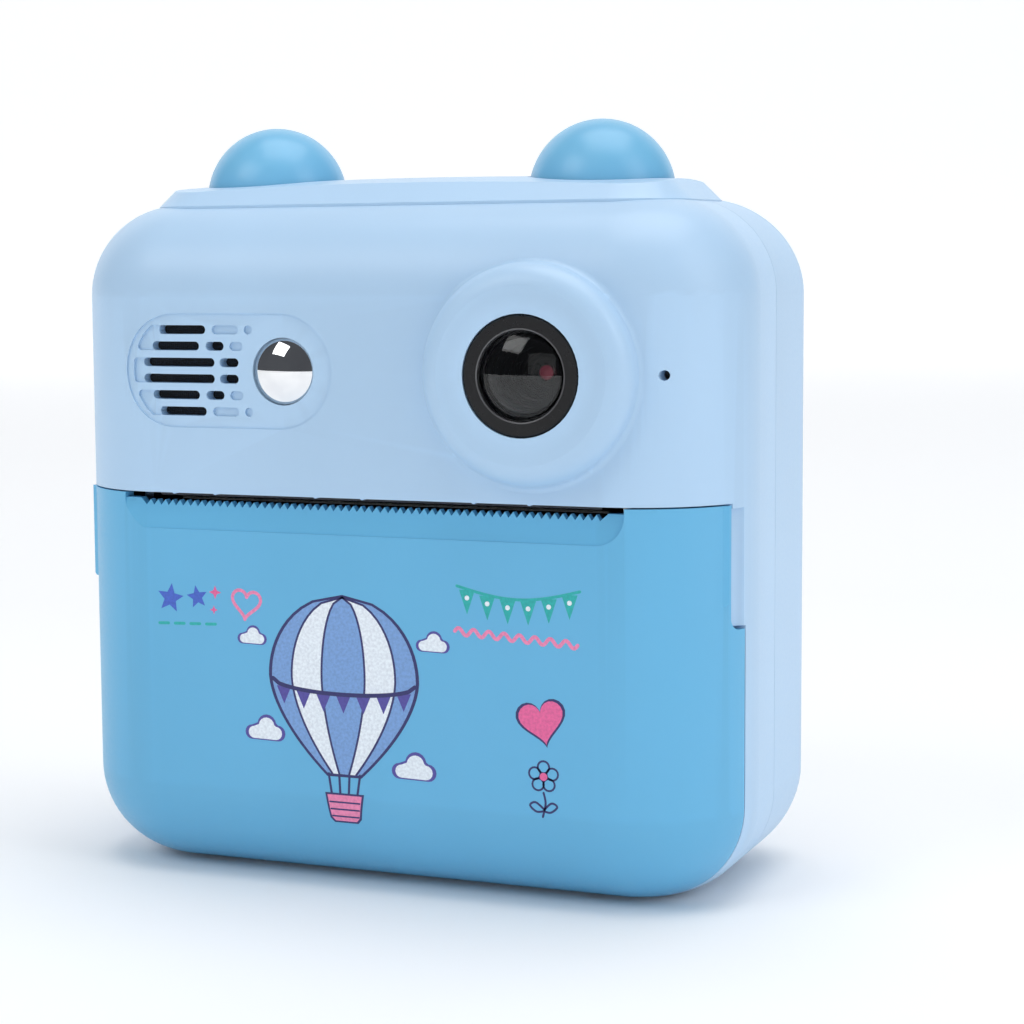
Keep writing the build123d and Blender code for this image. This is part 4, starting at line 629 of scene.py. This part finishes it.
def bunting_artwork():
    """A string of teal flags over a pink wavy line, at the door's upper right."""
    start, end, count = 11.4, 26.8, 6
    sag = [(start + (end - start) * i / 24, 38.4 - 1.3 * math.sin(math.pi * i / 24)) for i in range(25)]
    flags, dots = [], []
    for i in range(count):
        t = (i + 0.5) / count
        x = start + (end - start) * t
        z = 38.3 - 1.3 * math.sin(math.pi * t)
        flags.append([(x - 1.0, z), (x + 1.0, z), (x, z - 2.9)])
        dots.append(circle_points(x, z - 0.95, 0.3, None, 12))
    ink("bunting_string", [stroke_outline(sag, 0.34)], INK_TEAL, 1)
    ink("bunting_flags", flags, INK_TEAL, 0)
    ink("bunting_dots", dots, INK_WHITE, 2)
    steps, crests = 80, 8
    shares = [i / steps for i in range(steps + 1)]
    wave = [(11.1 + 15.4 * t, 33.0 - 0.9 * t + 0.42 * math.sin(t * 2 * math.pi * crests)) for t in shares]
    ink("wave_line", [stroke_outline(wave, 0.46)], INK_ROSE)


def flower_artwork():
    """A small ink flower with two leaves, under the heart."""
    x, z = 22.2, 16.3
    petals = []
    for i in range(5):
        a = math.radians(90 + 72 * i)
        petal = circle_points(x + 1.15 * math.cos(a), z + 1.15 * math.sin(a), 0.72, None, 16)
        petals += stroke_loop(petal, 0.24)
    ink("flower_petals", petals, INK_NAVY)
    ink("flower_heart", [circle_points(x, z, 0.48, None, 16)], INK_PINK, 1)
    stem = smooth_line([(x, z - 1.9), (x + 0.25, z - 3.2), (x - 0.1, z - 4.8)], 6)
    leaves = [smooth_line([(x + 0.1, z - 3.9), (x + side * 1.0, z - 3.1), (x + side * 1.7, z - 3.5),
                           (x + side * 0.9, z - 4.2), (x + 0.05, z - 4.1)], 5) for side in (-1, 1)]
    ink("flower_stem", [stroke_outline(line, 0.26) for line in [stem] + leaves], INK_NAVY)


balloon_artwork()
cloud_artwork()
heart_artwork()
star_artwork()
bunting_artwork()
flower_artwork()


# ================================================================ picture on the rear screen
def screen_picture():
    """A lit landscape with hills and a sun, inside the display's recess, with plain status marks."""
    low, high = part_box("display_panel")
    y = high.y - 0.2 * MM
    middle_z = (low.z + high.z) / 2 / MM
    half_x, half_z = 24.4, 18.2
    floor = middle_z - half_z

    def lit(name, outlines, colour, layer, strength=0.85):
        glow = screen_glow("screen_" + name, colour, strength)
        rear_ink("screen_" + name, outlines, glow, y, "camera_body", layer)

    def hills(points):
        crest = smooth_line([(x, middle_z + z) for x, z in points], 10)
        crest = [(max(-half_x, min(half_x, x)), z) for x, z in crest]
        return [crest + [(half_x, floor), (-half_x, floor)]]

    bands = [(-half_z, -2.0, (0.62, 0.84, 0.98, 1)), (-2.0, 6.0, (0.40, 0.72, 0.97, 1)),
             (6.0, half_z, (0.22, 0.55, 0.92, 1))]
    for i, (start, end, colour) in enumerate(bands):
        low_z, high_z = middle_z + start, middle_z + end
        band = [(-half_x, low_z), (half_x, low_z), (half_x, high_z), (-half_x, high_z)]
        lit(f"sky_{i}", [band], colour, 0)
    lit("sun", [circle_points(12.5, middle_z + 9.5, 3.6, None, 40)], (1.0, 0.80, 0.25, 1), 1, 1.1)
    clouds = [cloud_outline(-11.0, middle_z + 8.0, 3.0), cloud_outline(2.0, middle_z + 11.5, 2.0)]
    lit("clouds", clouds, (0.95, 0.97, 1.0, 1), 1)
    far_hills = hills([(-half_x, -1.0), (-15.0, 3.2), (-5.0, -0.8), (5.0, 4.0), (15.0, 0.0), (half_x, 2.4)])
    lit("far_hills", far_hills, (0.36, 0.62, 0.50, 1), 2)
    near_hills = hills([(-half_x, -7.0), (-12.0, -3.6), (0.0, -8.4), (12.0, -4.0), (half_x, -8.2)])
    lit("near_hills", near_hills, (0.20, 0.55, 0.20, 1), 3)
    meadow = hills([(-half_x, -13.0), (-8.0, -10.2), (10.0, -13.2), (half_x, -10.6)])
    lit("meadow", meadow, (0.42, 0.72, 0.22, 1), 4)
    corners = []
    for side_x in (-1, 1):
        for side_z in (-1, 1):
            x, z = side_x * 7.0, middle_z + side_z * 5.6
            corners.append(stroke_outline([(x, z - side_z * 2.0), (x, z)], 0.42))
            corners.append(stroke_outline([(x, z), (x - side_x * 2.0, z)], 0.42))
    lit("focus_marks", corners, (1.0, 1.0, 1.0, 1), 5, 1.1)
    cell = stroke_outline([(-22.6, middle_z + 14.6), (-22.6, middle_z + 16.6), (-18.6, middle_z + 16.6),
                           (-18.6, middle_z + 14.6), (-22.3, middle_z + 14.6)], 0.3)
    low_z, high_z = middle_z + 15.0, middle_z + 16.2
    bars = [[(x, low_z), (x + 0.8, low_z), (x + 0.8, high_z), (x, high_z)] for x in (-22.1, -21.0, -19.9)]
    lit("charge_mark", [cell] + bars, (1.0, 1.0, 1.0, 1), 5, 1.1)


def screen_border():
    """Black border printed on the inside of the screen window, round the picture."""
    low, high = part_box("screen_window")
    middle_x, middle_z = (low.x + high.x) / 2 / MM, (low.z + high.z) / 2 / MM
    outer_x, outer_z, corner = (high.x - low.x) / 2 / MM - 0.15, (high.z - low.z) / 2 / MM - 0.15, 2.4
    inner_x, inner_z, inner_corner = 24.1, 17.9, 0.5

    def rounded(half_x, half_z, radius):
        loop = []
        for side_x, side_z, start in ((1, 1, 0), (-1, 1, 90), (-1, -1, 180), (1, -1, 270)):
            x, z = middle_x + side_x * (half_x - radius), middle_z + side_z * (half_z - radius)
            loop += circle_points(x, z, radius, None, 7, start, 90)
        return loop

    outer, inner = rounded(outer_x, outer_z, corner), rounded(inner_x, inner_z, inner_corner)
    corners = list(zip(outer, inner))
    strips = [[a[0], b[0], b[1], a[1]] for a, b in zip(corners, corners[1:] + corners[:1])]
    border_ink = print_ink("ink_border", (0.006, 0.006, 0.008, 1), 0.4)
    rear_ink("screen_border", strips, border_ink, low.y + 0.03 * MM, "camera_body")


screen_picture()
screen_border()


# ================================================================ bead round the lens window
def lens_bead():
    """Thin polished ring of sealant between the bezel and the clear window; its grey, lighter than the bezel,
    is partly a painted highlight on the window's rim.
    """
    low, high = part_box("lens_bezel")
    middle = Vector(((low.x + high.x) / 2, low.y + 0.14 * MM, (low.z + high.z) / 2))
    radius, thick, around, across = 5.42 * MM, 0.13 * MM, 96, 10
    mesh = bmesh.new()
    rings = []
    for i in range(around):
        a = 2 * math.pi * i / around
        ring = []
        for j in range(across):
            b = 2 * math.pi * j / across
            reach = radius + thick * math.cos(b)
            place = middle + Vector((reach * math.cos(a), thick * math.sin(b), reach * math.sin(a)))
            ring.append(mesh.verts.new(place))
        rings.append(ring)
    for here, there in zip(rings, rings[1:] + rings[:1]):
        for j in range(across):
            k = (j + 1) % across
            mesh.faces.new([here[j], there[j], there[k], here[k]])
    for face in mesh.faces:
        face.smooth = True
    # grey lighter than the bezel's black: partly the ring's own colour, partly a painted highlight of the
    # window's rim
    bead_painted_highlight_grey = dark_plastic("bead_painted_highlight_grey", (0.07, 0.07, 0.075, 1), 0.16, 0.05, 1.0)
    new_piece("lens_bead", mesh, bead_painted_highlight_grey, "camera_body")


lens_bead()


# ================================================================ marks on the rear keys
KEY_INK = print_ink("ink_key", (0.060, 0.180, 0.330, 1))


def ring_outline(x, z, radius, width, start=0.0, sweep=350.0):
    return stroke_outline(circle_points(x, z, radius, None, 40, start, sweep), width)


def key_marks():
    """A printed symbol on each key: arrows, ring, power, lines, triangle and bin."""
    def middle(node):
        low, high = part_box(node)
        return (low.x + high.x) / 2 / MM, (low.z + high.z) / 2 / MM, high.y

    def mark(node, outlines):
        name, body = node.replace("_key", "_mark"), node.replace("_key", "_button")
        rear_ink(name, outlines, KEY_INK, middle(node)[2], body)

    x, z, y = middle("power_key")
    mark("power_key", [ring_outline(x, z, 1.35, 0.38, 125, 290),
                       stroke_outline([(x, z + 0.1), (x, z + 1.75)], 0.38)])
    x, z, y = middle("menu_key")
    rows = [[(x - 1.3, z + row), (x + 1.3, z + row)] for row in (-0.95, 0.0, 0.95)]
    mark("menu_key", [stroke_outline(row, 0.38) for row in rows])
    x, z, y = middle("play_key")
    mark("play_key", [[(x + 1.0, z + 1.3), (x - 1.4, z), (x + 1.0, z - 1.3)]])
    x, z, y = middle("delete_key")
    can = [(x - 0.95, z + 0.6), (x + 0.95, z + 0.6), (x + 0.75, z - 1.5), (x - 0.75, z - 1.5)]
    mark("delete_key", [can, stroke_outline([(x - 1.3, z + 1.0), (x + 1.3, z + 1.0)], 0.34),
                        stroke_outline([(x - 0.4, z + 1.42), (x + 0.4, z + 1.42)], 0.34)])
    x, z, y = middle("ok_key")
    mark("ok_key", [ring_outline(x, z, 1.2, 0.42)])
    for node, angle in (("left_key", 0), ("up_key", 90), ("right_key", 180), ("down_key", 270)):
        turn = math.radians(angle)
        along, across = (math.cos(turn), math.sin(turn)), (-math.sin(turn), math.cos(turn))
        arrow = [(8.35, 0.0), (6.9, 1.15), (6.9, -1.15)]
        mark(node, [[(x + a * along[0] + b * across[0], z + a * along[1] + b * across[1]) for a, b in arrow]])


key_marks()


# ================================================================ studio
def studio_material(name, colour):
    """Matt white paper. It glows a little far from the object, where the lights do not reach."""
    m = Maker(name)
    base = m.mix(m.ramp(m.noise(400, 2.0), 0.0, 1.0), shade(colour, 0.995), colour)
    far = m.node("ShaderNodeVectorMath", {0: m.place}, operation="LENGTH").outputs["Value"]
    return m.finish(Base_Color=base, Roughness=0.75, Specular_IOR_Level=0.1, Emission_Color=(1, 1, 1, 1),
                    Emission_Strength=m.ramp(far, 0.0, 0.42, 0.25, 1.5))


def sweep_backdrop():
    """Pale floor that curves up into a wall far behind the object."""
    mesh = bmesh.new()
    half, near, bend_y, radius, high = 3.0, -2.2, 1.5, 0.9, 3.2
    profile = [(near, 0.0), (0.0, 0.0), (bend_y, 0.0)]
    for i in range(1, 13):
        a = math.radians(90 * i / 12)
        profile.append((bend_y + radius * math.sin(a), radius - radius * math.cos(a)))
    profile.append((bend_y + radius, high))
    turn = Matrix.Rotation(math.radians(CAMERA_AZIMUTH), 4, "Z")
    rows = [[mesh.verts.new(turn @ Vector((x, y, z - 0.0001))) for x in (-half, half)] for y, z in profile]
    for low, up in zip(rows, rows[1:]):
        mesh.faces.new([low[0], low[1], up[1], up[0]])
    data = bpy.data.meshes.new("backdrop")
    mesh.to_mesh(data)
    mesh.free()
    for face in data.polygons:
        face.use_smooth = True
    backdrop = bpy.data.objects.new("backdrop", data)
    data.materials.append(studio_material("backdrop_white", (0.93, 0.935, 0.94, 1)))
    bpy.context.scene.collection.objects.link(backdrop)


def soft_light(name, place, target, size, power, colour=(1, 1, 1)):
    data = bpy.data.lights.new(name, "AREA")
    data.shape = "RECTANGLE"
    data.size, data.size_y = size
    data.energy = power
    data.color = colour
    light = bpy.data.objects.new(name, data)
    light.location = place
    light.rotation_euler = (Vector(target) - Vector(place)).to_track_quat("-Z", "Y").to_euler()
    bpy.context.scene.collection.objects.link(light)
    return light


def world_light():
    """Even pale surroundings for colour, with darker surroundings in mirror reflections."""
    world = bpy.data.worlds.new("studio")
    bpy.context.scene.world = world
    world.use_nodes = True
    tree = world.node_tree
    background = tree.nodes["Background"]
    path = tree.nodes.new("ShaderNodeLightPath")
    mix = tree.nodes.new("ShaderNodeMix")
    mix.data_type = "RGBA"
    colours = [s for s in mix.inputs if s.enabled]
    tree.links.new(path.outputs["Is Glossy Ray"], colours[0])
    colours[1].default_value = (0.90, 0.93, 0.98, 1)
    colours[2].default_value = (0.16, 0.17, 0.19, 1)
    tree.links.new(next(s for s in mix.outputs if s.enabled), background.inputs["Color"])
    background.inputs["Strength"].default_value = 0.47


def studio_camera():
    data = bpy.data.cameras.new("camera")
    data.lens = CAMERA_LENS
    data.sensor_width = 36.0
    data.shift_x, data.shift_y = CAMERA_SHIFT
    data.clip_start = 0.01
    azimuth, elevation, roll = map(math.radians, (CAMERA_AZIMUTH, CAMERA_ELEVATION, CAMERA_ROLL))
    level = math.cos(elevation)
    back = Vector((math.sin(azimuth) * level, -math.cos(azimuth) * level, math.sin(elevation)))
    right = Vector((math.cos(azimuth), math.sin(azimuth), 0))
    up = back.cross(right)
    side = right * math.cos(roll) + up * math.sin(roll)
    top = up * math.cos(roll) - right * math.sin(roll)
    camera = bpy.data.objects.new("camera", data)
    camera.matrix_world = Matrix((
        (side.x, top.x, back.x, CAMERA_PLACE.x), (side.y, top.y, back.y, CAMERA_PLACE.y),
        (side.z, top.z, back.z, CAMERA_PLACE.z), (0, 0, 0, 1)))
    bpy.context.scene.collection.objects.link(camera)
    bpy.context.scene.camera = camera


sweep_backdrop()
world_light()
soft_light("key_light", (-0.55, -0.75, 0.85), (0, 0, 0.05), (0.65, 0.5), 2.6)
soft_light("top_light", (0.1, 0.05, 1.0), (0, 0, 0.05), (0.8, 0.8), 5.0)
soft_light("right_light", (0.95, -0.15, 0.5), (0, 0, 0.05), (0.5, 0.9), 2.6, (0.93, 0.96, 1.0))
front_light = soft_light("front_light", (0.25, -1.1, 0.35), (0, 0, 0.05), (0.8, 0.6), 1.1)
front_light.visible_glossy = False
studio_camera()
bpy.context.scene.view_settings.view_transform = "Standard"
